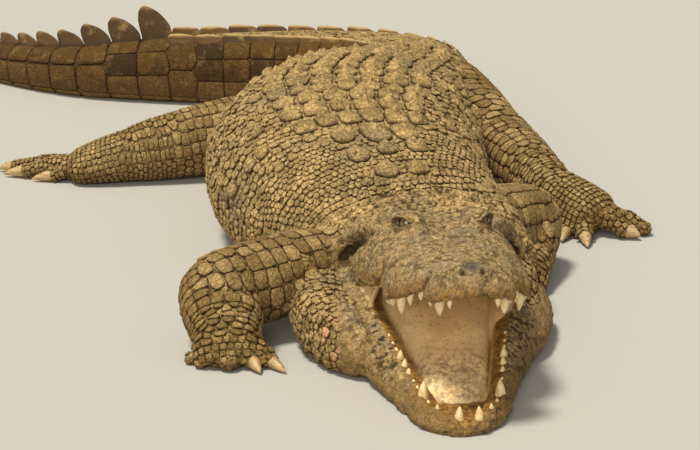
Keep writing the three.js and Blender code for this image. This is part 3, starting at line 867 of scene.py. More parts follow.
def pebbles(p, size, seed=0):
    """Irregular cells in space: distance from their edges (0 at an edge), and a random value for each."""
    q = p / size
    base = np.floor(q).astype(np.int64)
    first = np.full(len(p), 9.0)
    second, pick = first.copy(), np.zeros(len(p))
    for step in np.ndindex(3, 3, 3):
        cell = base + np.array(step) - 1
        x, y, z = cell.T
        middle = np.stack([hashed(x, y, z, seed + k) for k in range(3)], 1) * 0.9 + cell
        far = ((q - middle) ** 2).sum(1)
        near = far < first
        second = np.where(near, first, np.minimum(second, far))
        pick = np.where(near, hashed(z, x, y, seed), pick)
        first = np.where(near, far, first)
    return np.sqrt(second) - np.sqrt(first), pick


def ridged(p, size, seed=0):
    return 1 - 2 * np.abs(noise(p, size, seed))


SIDES = {"left": 1, "right": -1}
EYES = {
    name: UPPER.out([side * EYE["out"], EYE["behind_tip"], EYE["above_line"]])
    for name, side in SIDES.items()
}


def eye_axes(side):
    """Directions in which an eye looks, up along its lid, and forward."""
    look = UPPER.turn @ unit(np.array([side * 0.74, -0.66, 0.12]))
    rise = UPPER.turn @ unit(np.array([0, 0.0, 1.0]))
    fore = unit(np.cross(rise, look)) * side
    return look, unit(np.cross(look, np.cross(rise, look))), fore


def lid_opening(across):
    """Half height of the almond between the lids, in radians, at an angle across the eye."""
    return 0.31 * np.sqrt(np.clip(1 - (across / 0.7) ** 2, 0, 1))


def with_lids(p):
    """Wraps the skin round the eyeballs and opens an almond between the lids."""
    for name, side in SIDES.items():
        centre, radius = EYES[name], EYE["radius"]
        look, rise, fore = eye_axes(side)
        d = p - centre
        far = np.linalg.norm(d, axis=1)
        near = far < 42
        e = unit(d[near])
        facing, up, ahead = e @ look, e @ rise, e @ fore
        height = np.arctan2(up, facing)
        across = np.arctan2(ahead, facing)
        open_here = lid_opening(across)
        rim = np.abs(height) - open_here
        inside = smoothstep(0.05, -0.05, rim) * (np.abs(across) < 0.86)
        heavy = np.where(height > 0, 4.4, 1.6)
        lid = radius + 2.4 + heavy * hump(rim, 0.06, 0.16) - 1.6 * hump(rim, 0.34, 0.09)
        lid = lid + 2.0 * hump(rim, 0.56, 0.14)
        wanted = lerp(lid, radius - 5, inside)
        share = smoothstep(0.15, 0.7, facing) * smoothstep(42, 30, far[near])
        p[near] = centre + e * lerp(far[near], wanted, share)[:, None]
    return p


# ---------- Markings: numbers from 0 to 1 that the materials read ----------
MARKS = "crease shade tail limb head mouth gum lip pink nose low speckle lid".split()
SORES = [(-17, -712, 50), (-30, -690, 64), (-16, -738, 34), (-34, -660, 44)]


def starts(names, *words):
    """Which names start with one of these words."""
    return np.any([np.char.startswith(names, word) for word in words], axis=0)


def upper_marks(marks, p, normal, name):
    """Marks the upper lip and the nose. Gives the points of the palate."""
    q, half, lip = upper_local(p)
    upper = starts(name, "head")
    near_lip = smoothstep(lip + 32, lip + 6, q[:, 2]) * smoothstep(400, 260, q[:, 1])
    marks["lip"] = np.where(upper, near_lip, 0)
    marks["nose"] = np.where(upper, bump(q, (0, 30, 46), (24, 34, 30)), 0)
    roof = (np.abs(q[:, 0]) < half - 11) & (q[:, 2] < lip + 26) & (q[:, 1] > 14)
    return (name == "head") & ((normal @ UPPER.turn)[:, 2] < -0.25) & roof


def lower_marks(marks, p, normal, name):
    """Marks the gum, the lower lip and its speckles. Gives the points of the mouth and of its corners."""
    q, gum, rim, floor = lower_local(p)
    upper_q, _, lip = upper_local(p)
    across, facing = np.abs(q[:, 0]), normal @ LOWER.turn
    outward = facing[:, 0] * np.sign(q[:, 0])
    inward = outward < -0.15
    on_jaw = name == "jaw"
    inside = on_jaw & (across < gum + GUM_WIDTH - 5) & (q[:, 2] > floor - 5)
    inside &= (facing[:, 2] > 0.2) | inward
    row = gum + GUM_WIDTH * round_off(q[:, 1], JAW_ROUND)
    throat = ~on_jaw & ~starts(name, "head") & (upper_q[:, 2] < lip + 22)
    throat &= (across < row - 2) & (q[:, 1] < 492) & (q[:, 2] > floor - 8)
    throat &= (facing[:, 1] < 0.1) | inward
    strip = np.maximum(smoothstep(-6, 4, across - gum), smoothstep(100, 84, q[:, 1]))
    marks["gum"] = np.where(on_jaw, strip, 0)
    low_lip = smoothstep(rim - 20, rim - 4, q[:, 2]) * smoothstep(160, 60, q[:, 1])
    marks["lip"] = np.maximum(marks["lip"], np.where(on_jaw, low_lip, 0))
    speckle = bump(q, (0, 235, 62), (500, 120, 60)) ** 0.4
    marks["speckle"] = np.where(on_jaw, speckle * smoothstep(GUM_WIDTH - 8, GUM_WIDTH, across - gum), 0)
    return inside | throat, (name == "corner") & (outward < 0.3)


def lid_edges(p):
    """How close each point is to the edge of a lid."""
    lid = np.zeros(len(p))
    for key, side in SIDES.items():
        look, rise, fore = eye_axes(side)
        e = unit(p - EYES[key])
        rim = np.abs(np.arctan2(e @ rise, e @ look)) - lid_opening(np.arctan2(e @ fore, e @ look))
        near = (np.linalg.norm(p - EYES[key], axis=1) < 27) & (e @ look > 0.3)
        lid = np.maximum(lid, near * hump(rim, 0, 0.075))
    return lid


def markings(p, normal, name, edges, degree):
    """What the skin is at each point, and where shade is painted on it, as named values from 0 to 1."""
    marks = {key: np.zeros(len(p)) for key in MARKS}

    def soft(which, rounds):
        return blurred(which.astype(float), edges, degree, rounds)

    body, s = name == "body", np.zeros(len(p))
    s[body] = SPINE.nearest(p[body])
    # The tail's sides, and all of it towards the tip, take the tail's darker colours: painted shade for the
    # side away from the light.
    shaded_side = np.maximum(smoothstep(0.98, 0.75, normal[:, 2]), smoothstep(1740, 1840, s))
    marks["tail"] = np.where(body, smoothstep(1090, 1290, s), 0) * shaded_side
    marks["limb"] = soft(starts(name, "fore", "hind"), 12)
    q = LOWER.back(p)
    bare_jowl = starts(name, "jowl") & (q[:, 1] < 330) & (np.abs(q[:, 0]) < 150)
    marks["head"] = soft(starts(name, "head", "jaw", "corner") | bare_jowl, 12)
    # Painted shade: underneath near the floor, and on the jaws' sides as they turn from the light.
    shaded_jaw_side = soft(starts(name, "jaw") | bare_jowl, 12) * smoothstep(1.0, 0.3, normal[:, 2])
    marks["low"] = np.maximum(smoothstep(70, 0, p[:, 2]) * smoothstep(0.3, -0.5, normal[:, 2]), shaded_jaw_side)
    palate = upper_marks(marks, p, normal, name)
    mouth, corner = lower_marks(marks, p, normal, name)
    marks["mouth"] = soft(palate | mouth | corner, 3)
    # Dark lid edges: the lids' own dark margins and painted shade where the heavy lids overhang the eye.
    marks["lid"] = lid_edges(p)
    sore = np.max([bump(p, place, 34) for place in SORES], axis=0) * (noise(p, 14, 5) > 0.1)
    marks["pink"] = np.maximum(soft(sore, 2), 0.55 * soft(corner, 6))
    return marks


# ---------- Relief of the bare skin ----------
# Place in the skull's frame (mirrored where x isn't 0), radii, how far the skin moves, and how dark
# it gets from painted shade.
HEAD_DENTS = [
    ((14.5, 22, 35), (6.0, 8.0, 9.0), -11, 1.0),
    ((20, 34, 40), (15, 22, 18), 3.5, 0),
    ((0, 52, 44), (34, 14, 16), -3, 0.4),
    ((60, 80, 12), (26, 16, 26), -6, 0.5),
    ((30, 130, 56), (26, 50, 20), 3.0, 0),
    ((0, 205, 68), (16, 60, 20), -3, 0.1),
    ((34, 205, 72), (20, 80, 24), 2.5, 0),
    ((66, 240, 62), (30, 40, 20), -3.5, 0.2),
    ((30, 284, 87), (14, 9, 13), -3.5, 0.6),
    ((27, 256, 78), (16, 10, 14), -4, 0.4),
    ((0, 300, 80), (22, 50, 26), -4, 0.2),
    ((0, 395, 92), (26, 60, 24), -5, 0.2),
    ((106, 404, 50), (13, 32, 13), -5, 0.7),
    ((114, 426, 43), (13, 32, 13), -6, 0.9),
    ((122, 446, 35), (13, 32, 13), -6, 1.0),
    ((131, 464, 26), (13, 32, 13), -6, 1.0),
]


# Paints shade into the creases' mark, where a groove or hollow should look dark.
def add_painted_shade(marks, amount):
    marks["crease"] = np.maximum(marks["crease"], amount)


def add_head_relief(height, p, name, marks, bare):
    """Adds the head's rough skin, its fine lines and dents with painted shade in them, and the swellings
    over the teeth.
    """
    rough = 2.2 * ridged(p, 26, 1) + 1.7 * ridged(p, 12, 2)
    rough = rough + 1.3 * noise(p, 6, 3) + 0.8 * noise(p, 3.4, 14)
    height += (rough - 1.0) * bare * 0.85
    flow = p * (1, 0.55, 1) + 5 * noise(p, 18, 9)[:, None]
    line = smoothstep(0.16, 0.0, np.abs(noise(flow, 12, 8))) * smoothstep(-0.2, 0.5, noise(p, 45, 15))
    height -= 1.1 * line * bare
    # Painted shade in the fine lines.
    add_painted_shade(marks, 0.7 * line * bare)
    q, upper = UPPER.back(p), starts(name, "head") * bare
    for (x, y, z), radius, depth, dark in HEAD_DENTS:
        for side in (1, -1) if x else (1,):
            dent = bump(q, (side * x, y, z), radius)
            height += depth * dent * upper
            # Painted shade in the dents.
            add_painted_shade(marks, dark * smoothstep(0.1, 0.6, dent) * upper)
    which = (marks["head"] > 0.3) & (marks["mouth"] < 0.7)
    for rows, upper_row in ((UPPER_TEETH, True), (LOWER_TEETH, False)):
        swell = np.zeros(which.sum())
        for place, along, inward, _, radius in tooth_places(rows, upper_row):
            socket = place - along * radius * 1.5 - inward * radius
            swell = np.maximum(swell, radius * 0.42 * bump(p[which], socket, radius * 2.6 + 4))
        height[which] += swell


def add_mouth_relief(height, p, marks, bare):
    """Adds the wrinkles of the palate, the soft gums and the lumps of the lip."""
    mouth, gum, lip = (marks[key] for key in ("mouth", "gum", "lip"))
    wrinkle = ridged(p * (1, 0.35, 1), 5, 4) * 0.35 + ridged(p * (1, 0.4, 1), 11, 6) * 0.7
    height += wrinkle * mouth * (1 - gum) + 0.6 * noise(p, 9, 7) * mouth * gum
    lump = 2.2 * noise(p, 13, 41) + 1.2 * noise(p, 6, 42)
    height += lump * lip * bare
    # Painted shade in the hollows between the lip's lumps.
    add_painted_shade(marks, 0.6 * smoothstep(0.2, 1.4, -lump) * lip * bare)


def skin_folds(p, name, marks, upward, hide):
    """The broad folds round the neck and over the loose flanks, which the scales ride on."""
    s, body = SPINE.nearest(p), name == "body"
    neck = np.where(body, smoothstep(200, 120, s), 0.0)
    wave = np.abs(np.sin(math.pi * ((s + 14 * noise(p, 55, 11) + 5 * noise(p, 19, 12)) / 21)))
    folds = 7.0 * (wave**0.7 - 0.65) * neck
    # Painted shade in the valleys of the neck's folds.
    add_painted_shade(marks, 0.75 * smoothstep(0.42, 0.08, wave) * neck * hide)
    loose = np.where(body, smoothstep(1100, 900, s) * (1 - neck), 0) + starts(name, "jowl")
    slack = ridged(p * (1, 0.8, 1), 52, 16) * 3.4 + ridged(p, 26, 17) * 1.6
    folds += slack * loose * smoothstep(0.97, 0.8, upward)
    return folds * hide + 1.6 * noise(p, 60, 13) * hide


def skin_relief(p, name, marks, upward):
    """How far each point of the skin moves along its normal, as fine relief and as broad folds."""
    edge, marks["shade"] = pebbles(p, 11.0, 3)
    dry = 1 - marks["mouth"]
    hide, bare = (1 - marks["head"]) * dry, marks["head"] * dry
    # The grooves between the skin's pebbles are marked darker: painted shade, with some dirt.
    marks["crease"] = smoothstep(0.22, 0.0, edge) * hide
    height = -1.3 * marks["crease"] - 2.0 * hide
    add_head_relief(height, p, name, marks, bare)
    add_mouth_relief(height, p, marks, bare)
    return height, skin_folds(p, name, marks, upward, hide)


def build_skin():
    """The skin, the smooth surface under its relief, and each point's part, marks and broad folds."""
    mesh = voxel_mesh("skin", SHAPES, 3.6)
    set_coords(mesh, relaxed(coords(mesh), *neighbours(mesh), 12))
    finer_head(mesh)
    edges, degree = neighbours(mesh)
    p = coords(mesh)
    p = with_lids(np.where(in_head(p)[:, None], relaxed(p, edges, degree, 3), p))
    set_coords(mesh, p)
    part = owners(p)
    name = np.array(PART_NAMES)[part]
    normal = read(mesh.vertex_normals, "vector", 3).astype(float)
    marks = markings(p, normal, name, edges, degree)
    base = Base(mesh, p, normal)
    height, swell = skin_relief(p, name, marks, normal[:, 2])
    for centre in EYES.values():
        height *= smoothstep(24, 32, np.linalg.norm(p - centre, axis=1))
    p = p + normal * (height + swell)[:, None]
    p[:, 2] = np.maximum(p[:, 2], 0.0)
    set_coords(mesh, p)
    mesh.shade_smooth()
    set_marks(mesh, marks)
    return link("skin", mesh), base, part, marks, swell


# ---------- Scales ----------
# Height, keel, corner sharpness, gap, points round the edge and roughness of each kind of scale.
KINDS = {
    "plate": {"height": 2.6, "keel": 12.0, "sharp": 6, "gap": 1.1, "around": 32, "rough": 3.6},
    "nuchal": {"height": 2.8, "keel": 9.5, "sharp": 5, "gap": 0.9, "around": 32, "rough": 4.2},
    "boss": {"height": 4.5, "keel": 2.5, "sharp": 5, "gap": 1.0, "around": 20, "rough": 2.4},
    "pebble": {"height": 1.5, "keel": 0.0, "sharp": 6, "gap": 0.5, "around": 10, "rough": 0.9},
    "belly": {"height": 1.4, "keel": 0.0, "sharp": 14, "gap": 1.0, "around": 12, "rough": 0.3},
    "whorl": {"height": 1.4, "keel": 0.0, "sharp": 26, "gap": 0.9, "around": 28, "rough": 1.1},
    "band": {"height": 1.7, "keel": 0.6, "sharp": 13, "gap": 0.9, "around": 12, "rough": 0.8},
    "grain": {"height": 1.1, "keel": 0.0, "sharp": 6, "gap": 0.6, "around": 8, "rough": 0.5},
}
# Where the edge of a scale ends, under the hide.
SKIRT = -2.6
# Share of the half girth where the flank's scales end and the belly's start.
FLANK_SHARE = 0.62
# Shares of the half girth that the tall plates of a whorl reach to and that each small one takes.
WHORL_SIDE, WHORL_UNDER = 0.74, 0.13
# Distances along the spine, and how far out from the middle of the back the keeled plates reach there.
BACK_AT = [230, 330, 560, 800, 990, 1130, CREST["single_from"] - 15]
BACK_REACH = [70, 120, 150, 132, 96, 74, 36]
# How far scales stray along their row and how much they differ in size, as shares of their length.
UNEVEN = {
    "pebble": (0.6, 0.9),
    "boss": (0.4, 0.5),
    "grain": (0.25, 0.3),
    "band": (0.12, 0.2),
    "plate": (0.2, 0.3),
    "nuchal": (0.3, 0.4),
}


def ring_rows(tube, rows, kind, group, columns):
    """Scale places in rings round a tube. columns(s, row, half girth) gives arc places and widths."""
    for k, (s, pitch) in enumerate(rows):
        points, arc, along = tube.ring(s)
        for place, width in columns(s, k, arc[-1]):
            if not arc[0] < place < arc[-1]:
                continue
            if kind == "pebble" and hash_pair(place + 7, s) < 0.08:
                continue
            x = np.array([np.interp(place, arc, points[:, c]) for c in range(3)])
            stray, grow = UNEVEN.get(kind, (0.0, 0.0))
            x = x + along * pitch * stray * (hash_pair(place, s) - 0.5)
            grow = 1 + grow * (hash_pair(s, place + 3) - 0.5)
            yield x, along, pitch * grow, width * grow, kind, group


def hash_pair(a, b):
    return float(hashed(np.array([a]), np.array([b]))[0])


def spaced(first, last, pitch):
    """Even places between two distances, about one pitch apart, with their step."""
    count = max(1, int(round((last - first) / pitch)))
    step = (last - first) / count
    return [(first + (k + 0.5) * step, step) for k in range(count)]


def back_width(s):
    """How far out from the middle of the back the keeled plates reach, along the skin."""
    return float(np.interp(s, BACK_AT, BACK_REACH))


def even_columns(reach, wanted):
    count = max(1, int(round(2 * reach / wanted)))
    step = 2 * reach / count
    return [(-reach + (k + 0.5) * step, step) for k in range(count)]


def back_columns(s, _row, _half_girth):
    return even_columns(back_width(s), 41)


def nuchal_columns(_s, row, _half_girth):
    return even_columns(78 if row else 52, 52)


def flank_columns(spacing, first):
    """Staggered scales from first(s) down to the belly's edge, on both sides."""

    def columns(s, row, half_girth):
        inner = first(s)
        count = max(1, int((half_girth * FLANK_SHARE - inner) / spacing))
        for k in range(count + 1):
            for side in (1, -1):
                shift = 0.5 * (row % 2) + 0.35 * (hash_pair(row, k * side) - 0.5)
                yield side * (inner + (k + shift) * spacing), spacing

    return columns


def belly_columns(_s, _row, half_girth):
    spacing = 24
    for k in range(int((half_girth - half_girth * FLANK_SHARE) / spacing) + 1):
        for side in (1, -1):
            yield side * (half_girth - (k + 0.5) * spacing), spacing


def whorl_columns(s, _row, half_girth):
    """Plates round one whorl of the tail: a few tall ones on each side and small ones below."""
    inner = back_width(s) if s < BACK_AT[-1] else 4
    side_reach = half_girth * WHORL_SIDE - inner
    count = max(2, int(round(side_reach / 52)))
    step = side_reach / count
    for side in (1, -1):
        for k in range(count):
            yield side * (inner + (k + 0.5) * step), step
        for k in range(2):
            place = half_girth * WHORL_SIDE + (k + 0.5) * half_girth * WHORL_UNDER
            yield side * place, half_girth * WHORL_UNDER


def limb_columns(spacing, upper_share):
    """Bands of scales: wide on the upper side and small on the lower side."""

    def columns(_s, row, half_girth):
        reach = half_girth * upper_share
        for place, step in even_columns(reach, spacing):
            yield place + 0.2 * step * (hash_pair(row, place) - 0.5), step
        below = 2 * (half_girth - reach)
        count = max(2, int(below / (spacing * 0.6)))
        for k in range(count):
            place = reach + (k + 0.5 * (row % 2)) * below / count
            yield (place if place < half_girth else place - 2 * half_girth), below / count

    return columns


def round_columns(spacing):
    """Evenly spaced scales all the way round."""

    def columns(_s, _row, half_girth):
        return even_columns(half_girth, spacing)

    return columns


def whorls():
    """Distance and pitch of each ring of the tail."""
    at, found = CREST["from"], []
    while at < CREST["to"]:
        share = (at - CREST["single_from"]) / (CREST["to"] - CREST["single_from"])
        pitch = CREST["pitch"]
        if share >= 0:
            pitch = lerp(CREST["single_pitch"], CREST["last_pitch"], share)
        found.append((at, pitch))
        at += pitch
    return found


def boss_seeds():
    """Larger scales strewn over the flank beside the keeled plates."""
    for k in range(70):
        s = 300 + 640 * hash_pair(k, 5)
        side = 1 if k % 2 else -1
        out = side * (back_width(s) + 14 + 150 * hash_pair(k, 9) ** 1.3)

        def one_place(_s, _row, _half_girth, place=out):
            return [(place, 28.0)]

        yield from ring_rows(BODY_TUBE, [(s, 26 + 8 * hash_pair(k, 2))], "boss", "flank", one_place)


def limb_seeds(key):
    """The scales of one limb: large bands above, smaller ones to the wrist, and grains on the toes."""
    upper, lower, palm = (PARTS[PART_NAMES.index(key + end)] for end in (".upper", ".lower", ".palm"))
    group = "forelimbs" if key.startswith("fore") else "hindlimbs"
    wrist = 0.7 * lower.curve.length
    for part, rows, columns in (
        (upper, spaced(10, upper.curve.length - 10, 22), limb_columns(31, 0.6)),
        (lower, spaced(10, wrist, 16), limb_columns(24, 0.55)),
        (lower, spaced(wrist, lower.curve.length - 4, 8.5), limb_columns(22, 0.55)),
    ):
        yield from ring_rows(part, rows, "band", group, columns)
    rows = spaced(6, palm.curve.length - 6, 9.5)
    yield from ring_rows(palm, rows, "grain", "feet", limb_columns(11, 0.6))
    for toe in [p for p in PARTS if p.name.startswith(key + ".toe")]:
        rows = spaced(4, toe.curve.length - 2, 9)
        yield from ring_rows(toe, rows, "grain", "feet", round_columns(13))


def all_seeds():
    """Scale places, in order of importance: a later one gives way to an earlier one."""
    body = BODY_TUBE
    yield from ring_rows(body, [(150, 44), (206, 52), (258, 52)], "nuchal", "back", nuchal_columns)
    yield from ring_rows(body, spaced(300, 1095, 47), "plate", "back", back_columns)
    yield from boss_seeds()
    yield from ring_rows(body, whorls(), "whorl", "tail", whorl_columns)
    for key in LEGS:
        yield from limb_seeds(key)
    flank = flank_columns(13.5, lambda s: back_width(s) + 6)
    yield from ring_rows(body, spaced(252, 1110, 12.5), "pebble", "flank", flank)
    yield from ring_rows(body, spaced(20, 1110, 22), "belly", "belly", belly_columns)
    neck = flank_columns(11, lambda _s: 0)
    yield from ring_rows(body, spaced(8, 252, 10)[9:], "grain", "neck", neck)
    for name in ("jowl0", "jowl1"):
        jowl = PARTS[PART_NAMES.index(name)]
        rows = spaced(4, jowl.curve.length, 11)
        yield from ring_rows(jowl, rows, "pebble", "neck", round_columns(12))


# Size of the cells that sort the seeds by place. No two scales further apart than this crowd each other.
GRID_STEP = 60


def seated(rows, base, marks):
    """The seeds that are on the hide and don't crowd an earlier one, each with its place and normal."""
    kept, grid = [], {}
    for x, along, length, width, kind, group in rows:
        hit, _, face, far = base.tree.find_nearest(x)
        vertex = base.corner[face]
        if far > 16 or marks["mouth"][vertex] > 0.2 or marks["head"][vertex] > 0.5:
            continue
        along = Vector(along)
        cell = [int(c // GRID_STEP) for c in hit]
        beside = (tuple(c + move - 1 for c, move in zip(cell, moves)) for moves in np.ndindex(3, 3, 3))
        others = (other for at in beside for other in grid.get(at, ()))
        if any(crowding(hit, length, width, *other) for other in others):
            continue
        grid.setdefault(tuple(cell), []).append((hit, along, length, width))
        kept.append((hit, Vector(base.normal[vertex]), along, length, width, kind, group, vertex, face))
    return kept


def crowding(hit, length, width, other, along, other_length, other_width):
    d = hit - other
    if d.length_squared > (0.4 * (length + width + other_length + other_width)) ** 2:
        return False
    ahead = d.dot(along)
    across = (d - along * ahead).length
    return abs(ahead) < 0.36 * (length + other_length) and across < 0.36 * (width + other_width)


def radius_towards(ahead, length, width):
    """Distance from a scale's middle to its edge, where ahead is the cosine with its length."""
    across = 1 - np.clip(ahead, -1, 1) ** 2
    return 1 / np.sqrt((ahead / (0.5 * length)) ** 2 + across / (0.5 * width) ** 2)


class Scales:
    """All the scales as arrays: places, axes, sizes and the nearest others."""

    def __init__(self, kept, nearest=18):
        place, normal, ahead, length, width, kind, group, vertex, face = (np.array(c) for c in zip(*kept))
        self.place, self.normal = place, unit(normal)
        self.ahead = unit(ahead - self.normal * (ahead * self.normal).sum(1)[:, None])
        self.side = np.cross(self.normal, self.ahead)
        self.length, self.width = length.astype(float), width.astype(float)
        self.kind, self.group, self.vertex, self.face = kind, group, vertex, face
        tree = KDTree(len(kept))
        places = place.tolist()
        for i, at in enumerate(places):
            tree.insert(at, i)
        tree.balance()
        self.near = np.array([[i for _, i, _ in tree.find_n(at, nearest)][1:] for at in places])

    def outline(self, which, around, sharp, gap):
        """Radius of each scale at even angles, where it meets its neighbours."""
        d = self.place[self.near[which]] - self.place[which][:, None]
        ahead = (d * self.ahead[which][:, None]).sum(2)
        across = (d * self.side[which][:, None]).sum(2)
        far = np.maximum(np.hypot(ahead, across), 1e-3)
        off = np.abs((d * self.normal[which][:, None]).sum(2))
        mine = radius_towards(ahead / far, self.length[which][:, None], self.width[which][:, None])
        their_cos = (d * self.ahead[self.near[which]]).sum(2) / far
        theirs = radius_towards(their_cos, self.length[self.near[which]], self.width[self.near[which]])
        straight = np.hypot(far, off)
        meet = straight * (1 + 0.7 * (off / straight) ** 2) * mine / (mine + theirs)
        meet = np.where(off > 1.6 * far, 1e3, meet)
        turn = turns(around)
        facing = (ahead / far)[..., None] * np.cos(turn) + (across / far)[..., None] * np.sin(turn)
        total = ((np.maximum(facing, 0) / meet[..., None]) ** sharp).sum(1)
        own = (np.abs(np.cos(turn)) / (0.56 * self.length[which][:, None])) ** sharp
        own = own + (np.abs(np.sin(turn)) / (0.56 * self.width[which][:, None])) ** sharp
        return np.maximum((total + own) ** (-1 / sharp) - gap / 2, 1.0), turn

    def settle(self, which, edge, base, swell):
        """How far the hide lies from each point of the edge, and how far its folds lift it there."""
        flat = edge.reshape(-1, 3)
        found = [base.tree.find_nearest(p) for p in flat.tolist()]
        drop = (np.array([f[0] for f in found]) - flat).reshape(edge.shape)
        most = 4 + 0.3 * self.width[which][:, None]
        drop = drop * np.minimum(1, most / np.maximum(np.linalg.norm(drop, axis=2), 1e-6))[..., None]
        return drop, swell[base.corner[np.array([f[2] for f in found])]].reshape(edge.shape[:2])

    def patches(self, which, verts, uv_root):
        """A small patch of the skin's map for each scale."""
        spread = (verts - self.place[which][:, None]) / self.length[which][:, None, None]
        flat = np.stack([(spread * axis[which][:, None]).sum(2) for axis in (self.ahead, self.side)], -1)
        return (uv_root[self.face[which]][:, None] + 0.0015 * np.clip(flat, -1, 1)).reshape(-1, 2)


# Rings of a scale, from its skirt to its middle: share of the outline and level of the top.
SMALL_RINGS = [(1.0, None), (0.985, 0.4), (0.86, 0.86), (0.48, 1.0)]
LARGE_RINGS = [
    (1.0, None),
    (0.985, 0.25),
    (0.92, 0.65),
    (0.8, 0.88),
    (0.62, 1.0),
    (0.44, 1.0),
    (0.28, 1.0),
    (0.12, 1.0),
]


def scale_faces(around, count):
    """The quads between the rings of one scale, and the triangles to its top and bottom points."""
    k = np.arange(around)
    after = (k + 1) % around
    rings = np.arange(count - 1) * around
    quads = [np.stack([r + k, r + after, r + around + after, r + around + k], 1) for r in rings]
    inner, end = (count - 1) * around, count * around
    top = np.stack([inner + k, inner + after, np.full(around, end)], 1)
    bottom = np.stack([after, k, np.full(around, end + 1)], 1)
    return np.vstack(quads), np.vstack([top, bottom])


def ring_relief(at, share, level, along, across, width, style, rank, seed):
    """Height of one ring of each scale over the hide, with the painted shade of its creases and hollows,
    and its keel.
    """
    keel = np.clip(1 - np.abs(across) / 0.5, 0, 1) ** 1.3 * (0.45 + 0.4 * along) * (1 - share**6)
    tilt = 1 + (0.32 if style is KINDS["band"] else 0.12) * along
    height = style["height"] * level * tilt * (0.8 + 0.4 * rank) + style["keel"] * keel * (0.7 + 0.6 * rank)
    flat = at.reshape(-1, 3)
    worn = noise(flat, 0.14 * float(np.mean(width)) + 3, seed) + 0.7 * ridged(flat, 4.5, seed)
    worn = worn.reshape(height.shape)
    # Painted shade in the low spots of the roughest scales.
    hollow = np.clip(-0.22 * style["rough"] * worn, 0, 0.7) * (style["rough"] > 2)
    return height + style["rough"] * worn * (share < 0.95), 0.75 * (1 - level) ** 0.7 + hollow, keel


def scale_meshes(scales, which, style, base, swell, seed):
    """Points, per-point painted crease shade and tone (paler keels as painted highlight), quads and
    triangles of one kind of scale.
    """
    around, n = style["around"], len(which)
    radius, turn = scales.outline(which, around, style["sharp"], style["gap"])
    axes = (scales.place, scales.ahead, scales.side, scales.normal)
    middle, ahead, side, normal = (axis[which][:, None] for axis in axes)
    spoke = ahead * np.cos(turn)[None, :, None] + side * np.sin(turn)[None, :, None]
    drop, lift = scales.settle(which, middle + spoke * radius[..., None], base, swell)
    lift_middle = swell[scales.vertex[which]][:, None]
    rings = LARGE_RINGS if around >= 20 else SMALL_RINGS
    rank = hashed(np.arange(n), np.int64(seed))[:, None]
    length, width = scales.length[which][:, None], scales.width[which][:, None]
    verts, crease, crest = [], [], []
    # Each ring is darker towards the skirt, where the scale meets the hide: painted shade.
    for share, level in rings:
        along = share * radius * np.cos(turn) / (0.5 * length)
        across = share * radius * np.sin(turn) / (0.5 * width)
        at = middle + spoke * (share * radius)[..., None] + drop * share**2
        if level is None:
            height, dark, keel = SKIRT, np.ones(radius.shape), np.zeros(radius.shape)
        else:
            height, dark, keel = ring_relief(at, share, level, along, across, width, style, rank, seed)
        verts.append(at + normal * (lerp(lift_middle, lift, share) + height)[..., None])
        crease.append(dark)
        crest.append(keel)
    peak = lift_middle + style["height"] * (0.8 + 0.4 * rank) + 0.45 * style["keel"]
    ends = [middle + normal * height[..., None] for height in (peak, lift_middle + SKIRT)]
    verts = np.concatenate([*verts, *ends], 1)
    crease = np.concatenate([*crease, np.zeros((n, 1)), np.ones((n, 1))], 1)
    crest = np.concatenate([*crest, np.full((n, 1), 0.45), np.zeros((n, 1))], 1)
    shade = rank
    if style is KINDS["whorl"]:
        patch = 0.5 + 0.6 * noise(scales.place[which], 75, seed)[:, None] + 0.35 * (rank - 0.5)
        shade = np.clip(patch, 0, 1)
    # Keeled plates are paler along their keels: painted highlight on the raised tops, with dust.
    if style["keel"] > 5:
        shade = 0.45 * rank + 1.3 * crest
    return verts, crease, np.broadcast_to(shade, crease.shape), *scale_faces(around, len(rings))


def add_scales(scales, base, swell, marks, uv_root):
    """One mesh for each group of scales."""
    pieces = []
    for group in sorted(set(scales.group)):
        verts, quads, tris, patches, start = [], [], [], [], 0
        values = {key: [] for key in MARKS}
        for number, (kind, style) in enumerate(KINDS.items()):
            which = np.flatnonzero((scales.group == group) & (scales.kind == kind))
            if not len(which):
                continue
            v, crease, shade, q, t = scale_meshes(scales, which, style, base, swell, number + 1)
            n, size = v.shape[:2]
            offset = start + np.arange(n)[:, None, None] * size
            verts.append(v.reshape(-1, 3))
            quads.append((q[None] + offset).reshape(-1, 4))
            tris.append((t[None] + offset).reshape(-1, 3))
            for key in MARKS:
                values[key].append(np.repeat(marks[key][scales.vertex[which]], size))
            values["crease"][-1], values["shade"][-1] = crease.ravel(), shade.ravel()
            patches.append(scales.patches(which, v, uv_root))
            start += n * size
        verts = np.vstack(verts)
        verts[:, 2] = np.maximum(verts[:, 2], 0.0)
        mesh = mesh_of("scales_" + group, verts, [np.vstack(quads), np.vstack(tris)])
        set_marks(mesh, {key: np.concatenate(parts) for key, parts in values.items()})
        corners = read(mesh.loops, "vertex_index", 1, np.int32)
        set_uv(mesh, np.vstack(patches)[corners])
        pieces.append(link("scales_" + group, mesh))
    return pieces


# ---------- The skin's own unwrap ----------
# Room for the numbers of one part's charts.
CHARTS_EACH = 12


def tube_chart(tube, centre, corner, face_of):
    """Corners laid out along and around a tube, and the number of each face's chart."""
    s, x, z = tube.local(centre)
    band = (s // 900).astype(int) if tube is BODY_TUBE else np.zeros(len(s), int)
    angle = np.arctan2(x, z)[face_of]
    s, x, z = tube.local(corner)
    turn = angle + (np.arctan2(x, z) - angle + math.pi) % (2 * math.pi) - math.pi
    return np.stack([s, turn * float(np.mean(np.hypot(x, z)))], 1), band


